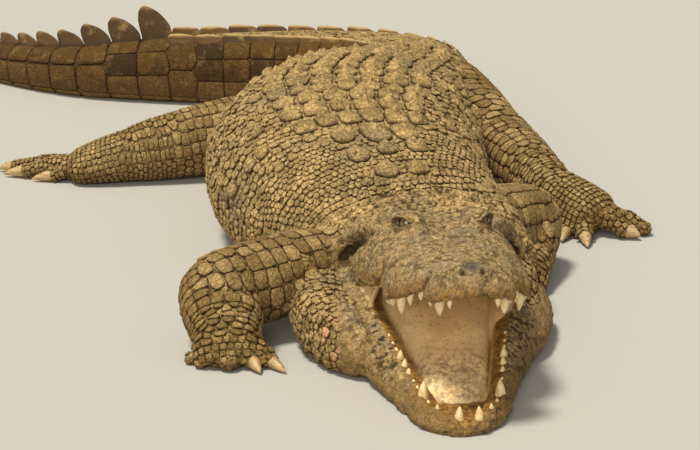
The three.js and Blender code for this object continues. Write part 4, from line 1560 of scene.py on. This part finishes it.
def box_chart(place, centre, facing, corner, face_of):
    """Corners laid out from six sides in the head's or the jaw's place, its inner walls apart."""
    q, n = place.back(centre), facing @ place.turn
    axis = np.abs(n * (1, 0.8, 1)).argmax(1)
    inward = (axis == 0) & (n[:, 0] * q[:, 0] < 0)
    chart = axis * 2 + (n[np.arange(len(n)), axis] > 0) + 6 * inward
    local, which = place.back(corner), axis[face_of]
    across = np.where(which == 0, local[:, 1], local[:, 0])
    return np.stack([across, np.where(which == 2, local[:, 1], local[:, 2])], 1), chart


def unwrap_skin(mesh, base, part):
    """Charts along and around each part, packed in rows. Returns each face's place on the map."""
    corners = read(mesh.loops, "vertex_index", 1, np.int32)
    first = read(mesh.polygons, "loop_start", 1, np.int32)
    totals = read(mesh.polygons, "loop_total", 1, np.int32)
    face_of = np.repeat(np.arange(len(first)), totals)
    centre, facing = (
        np.stack([np.bincount(face_of, values[corners, k]) for k in range(3)], 1) / totals[:, None]
        for values in (base.p, base.normal)
    )
    owner = part[corners[first]]
    uv, chart = np.zeros((len(corners), 2)), np.zeros(len(first), int)
    for index, each in enumerate(PARTS):
        faces = np.flatnonzero(owner == index)
        if not len(faces):
            continue
        loops = np.flatnonzero(owner[face_of] == index)
        corner, own_face = base.p[corners[loops]], np.searchsorted(faces, face_of[loops])
        if isinstance(each, Tube):
            uv[loops], number = tube_chart(each, centre[faces], corner, own_face)
        else:
            place = UPPER if each.name.startswith("head") else LOWER
            uv[loops], number = box_chart(place, centre[faces], facing[faces], corner, own_face)
        chart[faces] = CHARTS_EACH * index + number
    pack(uv, chart[face_of])
    set_uv(mesh, uv)
    return uv[first]


def pack(uv, chart):
    """Lays the charts out in rows on the unit square."""
    used = np.unique(chart)
    low = np.array([uv[chart == c].min(0) for c in used])
    size = np.array([uv[chart == c].max(0) for c in used]) - low + 8
    across = 1.15 * math.sqrt((size[:, 0] * size[:, 1]).sum())
    order = np.argsort(-size[:, 1])
    corner = np.zeros_like(low)
    x = y = tall = 0.0
    for c in order:
        if x + size[c, 0] > across:
            x, y, tall = 0.0, y + tall, 0.0
        corner[c] = (x, y)
        x += size[c, 0]
        tall = max(tall, size[c, 1])
    across = max(across, y + tall, (corner + size)[:, 0].max())
    row = np.searchsorted(used, chart)
    uv[:] = (uv - low[row] + 4 + corner[row]) / across


# ---------- Teeth, tongue, eyes, claws and crest ----------
def spike(place, along, bend, length, radius, sides=14, steps=14, blunt=1.5):
    """A curved, pointed tooth or claw that starts at a place and bends one way."""
    t = np.linspace(-0.25, 0.995, steps)
    part_way = np.clip(t, 0, 1)[:, None]
    middle = place + along * (t * length)[:, None] + bend * (0.16 * length * part_way**2)
    size = radius * np.clip(1 - part_way[:, 0] ** blunt, 0.02, 1) ** 0.8
    side = unit(np.cross(along, bend))
    angle = turns(sides)
    spoke = side * np.cos(angle)[:, None] + bend * np.sin(angle)[:, None]
    return tube(middle[:, None] + spoke[None] * size[:, None, None])


def add_teeth():
    pieces = []
    for name, rows, upper in (("teeth_upper", UPPER_TEETH, True), ("teeth_lower", LOWER_TEETH, False)):
        shapes = [
            spike(place, along, bend, length, radius, blunt=1.9)
            for place, along, bend, length, radius in tooth_places(rows, upper)
        ]
        pieces.append(make_object(name, *joined([(v, facing_out(v, f)) for v, f in shapes])))
    return pieces


TONGUE_TIP = 84.0
TONGUE_NAMES = ("half", "top")
TONGUE = [
    (84, 31, 22),
    (115, 38, 29),
    (170, 47, 41),
    (240, 56, 56),
    (300, 66, 70),
    (350, 76, 86),
    (400, 84, 104),
]


def add_tongue():
    rings = []
    for step in np.concatenate([[0, 1.5, 4, 8, 13], np.arange(19, 317, 3.0)]):
        at = TONGUE_TIP + step
        rounded = float(round_off(step, 34))
        half = float(column(TONGUE, TONGUE_NAMES, "half", at)) * (0.25 + 0.75 * rounded)
        floor = float(jaw("floor", at)) - 1
        top = floor + (float(column(TONGUE, TONGUE_NAMES, "top", at)) - floor) * (0.3 + 0.7 * rounded)
        x, z = section(np.linspace(0, math.pi, 61), half, top - floor, 0, 3)
        x = x * (1 + 0.1 * (x > 0)) + 3
        rings.append(LOWER.out(np.stack([x, np.full_like(x, at), floor + z], -1)))
    verts, faces = tube(rings)
    q = LOWER.back(verts)
    middle = 1 - smoothstep(20, 75, np.abs(q[:, 0]))
    wave = ridged(q * (0.5, 1, 0.5), 7, 21) * 0.7 + ridged(q * (0.35, 1, 0.5), 15, 22) * 1.1
    front = smoothstep(260, 160, q[:, 1])
    groove = 2.2 * bump(q, (0, 150, 44), (14, 90, 40)) * middle
    q[:, 2] += wave * (0.3 + 0.7 * front) + 0.4 * noise(q, 3.5, 24) - groove
    tongue = make_object("tongue_surface", LOWER.out(q), facing_out(verts, faces))
    set_marks(tongue.data, {"front": smoothstep(240, 190, q[:, 1])})
    return tongue


def add_eyes():
    pieces = []
    for name, centre in EYES.items():
        look, rise, fore = eye_axes(SIDES[name])
        turn = turns(48)
        rings = []
        for tilt in np.linspace(0.01, math.pi - 0.01, 40):
            radius = EYE["radius"] * (1 + 0.05 * math.exp(-((tilt / 0.35) ** 2)))
            spoke = rise * np.cos(turn)[:, None] + fore * np.sin(turn)[:, None]
            rings.append(centre + radius * (look * math.cos(tilt) + spoke * math.sin(tilt)))
        verts, faces = tube(rings)
        eye = make_object("eyeball_" + name, verts, facing_out(verts, faces))
        d = unit(verts - centre)
        set_marks(eye.data, {"upward": d @ rise, "forward": d @ fore, "outward": d @ look})
        pieces.append(eye)
    return pieces


def add_claws():
    pieces = []
    for key, leg in LEGS.items():
        number = 0
        for toe in leg["toes"]:
            if not toe["claw"]:
                continue
            number += 1
            end = toe_end(toe)
            along = end - np.array(toe["base"], float)
            along[2] = -3
            along = unit(along)
            bend = unit(-Z - along * (-Z @ along))
            length, radius = toe["claw"] * 1.05, toe["thick"] * 0.55
            verts, faces = spike(end + (0, 0, 2), along, bend, length, radius, 18, 16)
            verts[:, 2] = np.maximum(verts[:, 2], 0.2)
            end_name, side = key.split("_")
            piece = make_object(f"claw_{end_name}_{side}_{number}_horn", verts, facing_out(verts, faces))
            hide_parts(f"claw_{end_name}_{side}_{number}")
            pieces.append(piece)
    return pieces


# Points round each ring of a blade of the crest, and how many of its rings stand over the back.
BLADE_SIDES, BLADE_RINGS = 28, 14


def crest_blade(at, sideways, height, length, thick, lean):
    """One upright scute of the tail's crest, leaning towards the tail's tip."""
    place, side, rise, along = [v[0] for v in SPINE.at(np.array([at]))]
    half, up = float(column(BODY, BODY_NAMES, "half", at)), float(column(BODY, BODY_NAMES, "up", at))
    top = up * math.sqrt(max(0.2, 1 - (sideways / half) ** 2)) + 1
    turn = turns(BLADE_SIDES)
    rings = []
    for t in np.concatenate([[-0.35, -0.1], np.linspace(0, 1, BLADE_RINGS) ** 0.8]):
        share = max(t, 0)
        front = -0.51 + lean * share**2 + 0.22 * share**9
        rear = 0.49 + 0.1 * math.sin(share * 2.6) * (lean > 0.5) - 0.1 * share**9
        mid, reach = 0.5 * (front + rear) * length, 0.5 * max(rear - front, 0.03) * length
        width = thick * 0.5 * (1 - 0.78 * share) + 0.6
        c, s = np.cos(turn), np.sin(turn)
        y = mid + reach * np.sign(c) * np.abs(c) ** 0.7
        x = width * np.sign(s) * np.abs(s) ** 0.9 * (1 - 0.35 * np.abs(c) ** 4)
        z = top + t * height if t > 0 else top + t * 30
        rings.append(place + side * (sideways + x)[:, None] + along * y[:, None] + rise * z)
    verts, faces = tube(rings)
    return verts, facing_out(verts, faces)


def add_crest():
    """Two rows of scutes along the tail that become one, with marks for the material."""
    level = np.repeat(np.linspace(-0.2, 1, BLADE_RINGS + 2), BLADE_SIDES)
    rise = np.clip(np.concatenate([level, [0, 1]]), 0, 1)
    shapes, shades, tips = [], [], []
    for k, (at, pitch) in enumerate(whorls()):
        single = at >= CREST["single_from"]
        first, last = ("single_from", "to") if single else ("from", "single_from")
        share = (at - CREST[first]) / (CREST[last] - CREST[first])
        if single:
            blades = [(0, 18 + 60 * (1 - share) ** 5, 14, 0.62)]
        else:
            out = float(column(BODY, BODY_NAMES, "half", at)) * lerp(0.66, 0.5, share**3)
            blades = [(side * out, lerp(10, 22, share), 15, 0.22) for side in (1, -1)]
        for sideways, height, thick, lean in blades:
            height *= 0.9 + 0.2 * hash_pair(k, 3)
            length = pitch * (1.0 if single else 1.14)
            shapes.append(crest_blade(at, sideways, height, length, thick, lean))
            shades.append(np.full(len(rise), hash_pair(k, 4)))
            tips.append(rise * (0.8 if single else 1.0))
    verts, faces = joined(shapes)
    verts = verts + 0.9 * np.stack([noise(verts, 9, 31 + k) for k in range(3)], 1)
    crest = make_object("crest", verts, faces)
    marks = {key: np.zeros(len(verts)) for key in MARKS}
    marks["tail"][:] = 0.9
    marks["shade"] = np.concatenate(shades)
    # Painted shade where each blade meets the tail.
    marks["crease"] = 0.8 * (1 - smoothstep(0, 0.12, np.tile(rise, len(shapes))))
    marks["tip"] = np.concatenate(tips)
    set_marks(crest.data, marks)
    return crest


# ---------- Materials ----------
class Nodes:
    """Short names for building a material's nodes."""

    def __init__(self, name):
        self.material = bpy.data.materials.new(name)
        self.material.use_nodes = True
        self.tree = self.material.node_tree
        self.tree.nodes.clear()
        self.shader = self.add("ShaderNodeBsdfPrincipled")
        output = self.add("ShaderNodeOutputMaterial")
        self.tree.links.new(self.shader.outputs[0], output.inputs[0])
        self.place = self.add("ShaderNodeTexCoord").outputs["Object"]

    def add(self, kind, **settings):
        node = self.tree.nodes.new(kind)
        for key, value in settings.items():
            setattr(node, key, value)
        return node

    def put(self, socket, value):
        if isinstance(value, bpy.types.NodeSocket):
            self.tree.links.new(value, socket)
        elif isinstance(value, tuple) and len(value) == 3 and socket.type == "RGBA":
            socket.default_value = (*value, 1)
        else:
            socket.default_value = value

    def mark(self, name):
        return self.add("ShaderNodeAttribute", attribute_name=name).outputs["Fac"]

    def math(self, operation, a, b=0.0):
        node = self.add("ShaderNodeMath", operation=operation, use_clamp=operation == "MULTIPLY_ADD")
        self.put(node.inputs[0], a)
        self.put(node.inputs[1], b)
        return node.outputs[0]

    def noise(self, size, detail=4.0, rough=0.6, stretch=(1, 1, 1)):
        """Noise from 0 to 1 with lumps of about this many metres."""
        mapping = self.add("ShaderNodeMapping")
        self.put(mapping.inputs["Vector"], self.place)
        self.put(mapping.inputs["Scale"], stretch)
        node = self.add("ShaderNodeTexNoise")
        self.put(node.inputs["Vector"], mapping.outputs[0])
        self.put(node.inputs["Scale"], 1 / size)
        self.put(node.inputs["Detail"], detail)
        self.put(node.inputs["Roughness"], rough)
        return node.outputs[0]

    def crackle(self, size):
        """Distance to the nearest edge of a mesh of wavy cells of this size in metres."""
        wave = self.add("ShaderNodeTexNoise")
        self.put(wave.inputs["Vector"], self.place)
        self.put(wave.inputs["Scale"], 0.6 / size)
        bent = self.add("ShaderNodeVectorMath", operation="MULTIPLY_ADD")
        self.put(bent.inputs[0], wave.outputs["Color"])
        self.put(bent.inputs[1], (size, size, size))
        self.put(bent.inputs[2], self.place)
        node = self.add("ShaderNodeTexVoronoi", feature="DISTANCE_TO_EDGE")
        self.put(node.inputs["Vector"], bent.outputs[0])
        self.put(node.inputs["Scale"], 1 / size)
        return node.outputs["Distance"]

    def step(self, value, low, high, to=(0.0, 1.0)):
        node = self.add("ShaderNodeMapRange", interpolation_type="SMOOTHSTEP")
        for name, v in zip(("Value", "From Min", "From Max", "To Min", "To Max"), (value, low, high, *to)):
            self.put(node.inputs[name], v)
        return node.outputs[0]

    def mix(self, share, a, b):
        node = self.add("ShaderNodeMix", data_type="RGBA")
        self.put(node.inputs[0], share)
        self.put(node.inputs[6], a)
        self.put(node.inputs[7], b)
        return node.outputs[2]

    def spots(self, under, over, size, detail, rough, edge, most=1.0):
        """One colour over another where noise of this size in metres rises past an edge."""
        return self.mix(self.step(self.noise(size, detail, rough), *edge, (0, most)), under, over)

    def bump(self, height, distance, strength=1.0, under=None):
        node = self.add("ShaderNodeBump")
        self.put(node.inputs["Height"], height)
        self.put(node.inputs["Distance"], distance)
        self.put(node.inputs["Strength"], strength)
        if under is not None:
            self.put(node.inputs["Normal"], under)
        return node.outputs[0]

    def set(self, **values):
        for name, value in values.items():
            self.put(self.shader.inputs[name.replace("_", " ")], value)
        return self.material


COLOURS = {
    "dust": (0.6, 0.41, 0.175),
    "olive": (0.34, 0.235, 0.092),
    "grey": (0.25, 0.2, 0.122),
    "soil": (0.052, 0.029, 0.008),
    "limb": (0.24, 0.15, 0.052),
    # The tail's colours are darker than its hide: painted shade for the side away from the light; its dark
    # bands are its own.
    "tail": (0.112, 0.057, 0.012),
    "tail_dark": (0.04, 0.022, 0.007),
    "snout": (0.28, 0.19, 0.085),
    "lip": (0.27, 0.14, 0.032),
    "nose": (0.1, 0.085, 0.07),
    "cream": (0.84, 0.61, 0.31),
    "throat": (0.68, 0.4, 0.2),
    "gum": (0.38, 0.2, 0.042),
    "gum_dark": (0.11, 0.06, 0.018),
    "pink": (0.68, 0.38, 0.21),
    "speck": (0.03, 0.022, 0.014),
    "tongue": (0.98, 0.76, 0.4),
    "tongue_worn": (0.34, 0.24, 0.13),
    "tongue_streak": (0.3, 0.2, 0.1),
    "tongue_speck": (0.2, 0.13, 0.07),
    "tooth": (0.78, 0.63, 0.35),
    "tooth_old": (0.62, 0.42, 0.17),
    "tooth_stain": (0.3, 0.18, 0.07),
    "horn": (0.5, 0.35, 0.17),
    "horn_dark": (0.26, 0.16, 0.075),
    "iris": (0.2, 0.11, 0.025),
    "iris_dark": (0.06, 0.035, 0.012),
    "eye_rim": (0.06, 0.035, 0.015),
    "pupil": (0.004, 0.003, 0.002),
}


def back_colour(m, c, medium):
    colour = m.mix(m.step(medium, 0.38, 0.66), c["olive"], c["dust"])
    colour = m.spots(colour, c["grey"], 0.16, 3, 0.6, (0.48, 0.72), 0.6)
    # Paler with each scale's own tone, and along the keels, where it is painted highlight with dust.
    return m.mix(m.step(m.mark("shade"), 0.55, 1.0, (0.0, 0.45)), colour, c["dust"])


def head_colour(m, c, medium, small):
    """Dusty, with pale flakes and dark spots."""
    colour = m.mix(m.step(small, 0.42, 0.66), c["snout"], c["dust"])
    colour = m.mix(m.step(medium, 0.46, 0.62, (0, 0.75)), colour, c["grey"])
    colour = m.spots(colour, c["soil"], 0.0045, 4, 0.7, (0.54, 0.64), 0.8)
    colour = m.spots(colour, c["cream"], 0.009, 4, 0.65, (0.52, 0.62), 0.42)
    return m.spots(colour, c["soil"], 0.011, 4, 0.65, (0.5, 0.58), 0.6)


def limb_colour(m, c):
    colour = m.spots(c["limb"], c["olive"], 0.09, 4, 0.6, (0.42, 0.62))
    return m.mix(m.step(m.mark("shade"), 0.4, 1.0, (0.0, 0.5)), colour, c["dust"])


# Darker than the hide as painted shade, with the tail's own dark bands and spots.
def shaded_tail_colour(m, c):
    colour = m.mix(m.step(m.mark("shade"), 0.2, 0.6), c["tail_dark"], c["tail"])
    colour = m.spots(colour, c["limb"], 0.022, 5, 0.7, (0.5, 0.68), 0.6)
    return m.spots(colour, c["tail_dark"], 0.05, 4, 0.6, (0.52, 0.66), 0.7)


def mouth_colour(m, c):
    """Cream flesh with a few specks, and mottled gums."""
    colour = m.spots(c["cream"], c["throat"], 0.05, 3, 0.6, (0.5, 0.8))
    colour = m.spots(colour, c["soil"], 0.004, 3, 0.6, (0.66, 0.72), 0.6)
    gum = m.spots(c["gum_dark"], c["gum"], 0.009, 5, 0.7, (0.4, 0.62))
    return m.mix(m.mark("gum"), colour, gum)


def hide_material():
    """The skin and its scales. The marks say which colours go where, and where shade and highlight are
    painted.
    """
    m, c = Nodes("hide"), COLOURS
    medium, small = m.noise(0.035, 5), m.noise(0.007, 6, 0.7)
    colour = back_colour(m, c, medium)
    colour = m.mix(m.mark("head"), colour, head_colour(m, c, medium, small))
    colour = m.mix(m.mark("limb"), colour, limb_colour(m, c))
    colour = m.mix(m.mark("tail"), colour, shaded_tail_colour(m, c))
    colour = m.mix(m.mark("lip"), colour, m.mix(m.step(small, 0.42, 0.6), c["lip"], c["snout"]))
    colour = m.mix(m.mark("nose"), colour, c["nose"])
    # Painted shade underneath and on the jaws' sides, in the limb colour.
    colour = m.mix(m.math("MULTIPLY", m.mark("low"), 0.82), colour, c["limb"])
    speck = m.math("MULTIPLY", m.mark("speckle"), m.step(m.noise(0.011, 3), 0.5, 0.62))
    colour = m.mix(speck, colour, c["speck"])
    colour = m.mix(m.mark("mouth"), colour, mouth_colour(m, c))
    colour = m.mix(m.mark("pink"), colour, c["pink"])
    # Dark lid edges: the lids' own dark margins and painted shade where the heavy lids overhang the eye.
    colour = m.mix(m.math("MULTIPLY", m.mark("lid"), 0.75), colour, c["soil"])
    dry = m.math("SUBTRACT", 1.0, m.mark("mouth"))
    body = m.math("SUBTRACT", 1.0, m.mark("head"))
    wrinkle = m.crackle(0.01)
    # Dark specks of dirt, and painted shade along the fine wrinkle lines.
    line = m.math("MULTIPLY", m.step(wrinkle, 0.0, 0.1, (0.5, 0.0)), body)
    specks_and_line_shade = m.math("MAXIMUM", m.step(small, 0.52, 0.64, (0, 0.62)), line)
    specks_and_line_shade = m.math("MAXIMUM", specks_and_line_shade, m.step(m.noise(0.0035, 3), 0.54, 0.64, (0, 0.6)))
    colour = m.mix(m.math("MULTIPLY", specks_and_line_shade, dry), colour, c["soil"])
    # Darkest in the creases: painted shade, with some dirt.
    colour = m.mix(m.step(m.mark("crease"), 0.15, 0.9, (0, 0.88)), colour, c["soil"])
    fine = m.bump(m.step(wrinkle, 0.0, 0.16), 0.0012, m.math("MULTIPLY", dry, 0.8))
    grain = m.bump(m.noise(0.003, 6, 0.75), 0.0018, 0.8, fine)
    relief = m.bump(medium, 0.003, 0.5, grain)
    rough = m.step(dry, 0, 1, (0.38, 0.86))
    return m.set(Base_Color=colour, Roughness=rough, Normal=relief, Specular_IOR_Level=0.22)


def crest_material():
    m, c = Nodes("crest"), COLOURS
    medium = m.noise(0.03, 5)
    colour = m.mix(m.step(m.mark("shade"), 0.1, 0.8, (0.35, 1.0)), c["tail_dark"], c["tail"])
    colour = m.mix(m.step(medium, 0.5, 0.7), colour, c["limb"])
    # Paler towards the blades' tips.
    colour = m.mix(m.step(m.mark("tip"), 0.6, 1.0, (0, 0.75)), colour, c["dust"])
    # Painted shade at the blades' bases.
    colour = m.mix(m.mark("crease"), colour, c["soil"])
    grain = m.bump(m.noise(0.003, 5, 0.7), 0.0009, 0.8)
    return m.set(Base_Color=colour, Roughness=0.8, Normal=m.bump(medium, 0.003, 0.6, grain))


def tongue_material():
    """Cream, and worn and streaked at the front."""
    m, c = Nodes("tongue"), COLOURS
    worn = m.math("MULTIPLY", m.mark("front"), m.step(m.noise(0.014, 8, 0.8), 0.46, 0.64))
    colour = m.spots(c["cream"], c["tongue"], 0.06, 3, 0.6, (0.42, 0.62))
    colour = m.mix(worn, colour, c["tongue_worn"])
    streak = m.step(m.noise(0.009, 4, 0.65, (1.6, 0.7, 1)), 0.5, 0.6, (0, 0.6))
    colour = m.mix(m.math("MULTIPLY", streak, m.mark("front")), colour, c["tongue_streak"])
    colour = m.spots(colour, c["tongue_speck"], 0.005, 4, 0.7, (0.58, 0.66), 0.7)
    grain = m.bump(m.noise(0.002, 4, 0.7), 0.0008, 0.8)
    folds = m.bump(m.noise(0.012, 4, 0.7, (1, 0.5, 1)), 0.004, 0.8, grain)
    return m.set(Base_Color=colour, Roughness=0.5, Normal=folds, Subsurface_Weight=0.12)


def tooth_material():
    m, c = Nodes("tooth"), COLOURS
    colour = m.spots(c["tooth"], c["tooth_old"], 0.008, 4, 0.6, (0.4, 0.7))
    colour = m.spots(colour, c["tooth_stain"], 0.003, 3, 0.6, (0.6, 0.75), 0.5)
    return m.set(Base_Color=colour, Roughness=0.33, Normal=m.bump(m.noise(0.002, 3), 0.0002, 0.5))


def claw_material():
    m, c = Nodes("claw"), COLOURS
    streak = m.step(m.noise(0.01, 4, stretch=(1, 1, 3)), 0.4, 0.7)
    colour = m.mix(streak, c["horn"], c["horn_dark"])
    return m.set(Base_Color=colour, Roughness=0.45, Normal=m.bump(m.noise(0.003, 4), 0.0005, 0.7))


def eye_material():
    """A brown iris in a dark rim, with an upright slit."""
    m, c = Nodes("eye"), COLOURS
    up, fore, out = m.mark("upward"), m.mark("forward"), m.mark("outward")
    iris = m.spots(c["iris"], c["iris_dark"], 0.0025, 4, 0.6, (0.35, 0.65))
    colour = m.mix(m.step(out, 0.6, 0.75), c["eye_rim"], iris)
    slit = m.step(m.math("ABSOLUTE", fore), 0.14, 0.07)
    tall = m.step(m.math("ABSOLUTE", up), 0.6, 0.5)
    colour = m.mix(m.math("MULTIPLY", slit, tall), colour, c["pupil"])
    return m.set(Base_Color=colour, Roughness=0.08, Coat_Weight=0.35, Coat_Roughness=0.08)


# ---------- The animal ----------
def build():
    skin, base, part, marks, swell = build_skin()
    uv_root = unwrap_skin(skin.data, base, part)
    scales = Scales(seated(all_seeds(), base, marks))
    pieces = add_scales(scales, base, swell, marks, uv_root)
    hide = hide_material()
    flesh = [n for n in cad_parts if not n.startswith(("eye", "claw", "tongue"))]
    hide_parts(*flesh)
    for piece in [skin, *pieces]:
        piece.data.materials.append(hide)
        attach(piece, "root")
    others = [(add_crest(), crest_material(), "hide"), (add_tongue(), tongue_material(), "mouth")]
    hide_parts("tongue")
    tooth, claw, eye = tooth_material(), claw_material(), eye_material()
    others += [(piece, tooth, "claw") for piece in add_teeth()]
    others += [(piece, claw, "claw") for piece in add_claws()]
    for piece in add_eyes():
        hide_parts(piece.name.replace("ball", ""))
        others.append((piece, eye, "eye"))
    for piece, material, slot in others:
        piece.data.materials.append(material)
        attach(piece, "root")


# ---------- The studio ----------
# Half the floor's width in millimetres, and the camera's place in metres, tilt and focal length.
FLOOR_REACH = 9000
CAMERA_PLACE, CAMERA_DOWN = (0, -4.35, 1.3), 16.4
SENSOR_WIDTH, FOCAL_SHARE = 36, 2670 / 700


def plain_material(name, colour, roughness):
    return Nodes(name).set(Base_Color=colour, Roughness=roughness)


def sun_light(name, place, strength, width, colour):
    """A soft sun that shines from a place towards the middle of the floor."""
    light = bpy.data.lights.new(name, "SUN")
    light.energy, light.angle, light.color = strength, math.radians(width), colour
    link(name, light).rotation_euler = (-Vector(place)).to_track_quat("-Z", "Y").to_euler()


def studio():
    scene = bpy.context.scene
    corners = [(x * FLOOR_REACH, y * FLOOR_REACH, 0) for x, y in ((-1, -1), (1, -1), (1, 1), (-1, 1))]
    floor = make_object("floor", corners, [[0, 1, 2, 3]])
    floor.data.materials.append(plain_material("floor", (0.46, 0.447, 0.42), 0.9))
    sun_light("key", (-0.9, -0.6, 3.2), 3.5, 12, (1.0, 0.93, 0.8))
    sun_light("front", (-0.5, -3.4, 1.5), 1.3, 30, (1.0, 0.93, 0.82))
    scene.world = bpy.data.worlds.new("studio")
    scene.world.use_nodes = True
    background = scene.world.node_tree.nodes["Background"]
    background.inputs["Color"].default_value = (0.95, 0.92, 0.87, 1)
    background.inputs["Strength"].default_value = 0.32
    scene.view_settings.view_transform = "Standard"
    camera = link("camera", bpy.data.cameras.new("camera"))
    camera.data.sensor_width = SENSOR_WIDTH
    camera.data.lens = SENSOR_WIDTH * FOCAL_SHARE
    camera.location = CAMERA_PLACE
    camera.rotation_euler = (math.radians(90 - CAMERA_DOWN), 0, 0)
    scene.camera = camera


build()
studio()
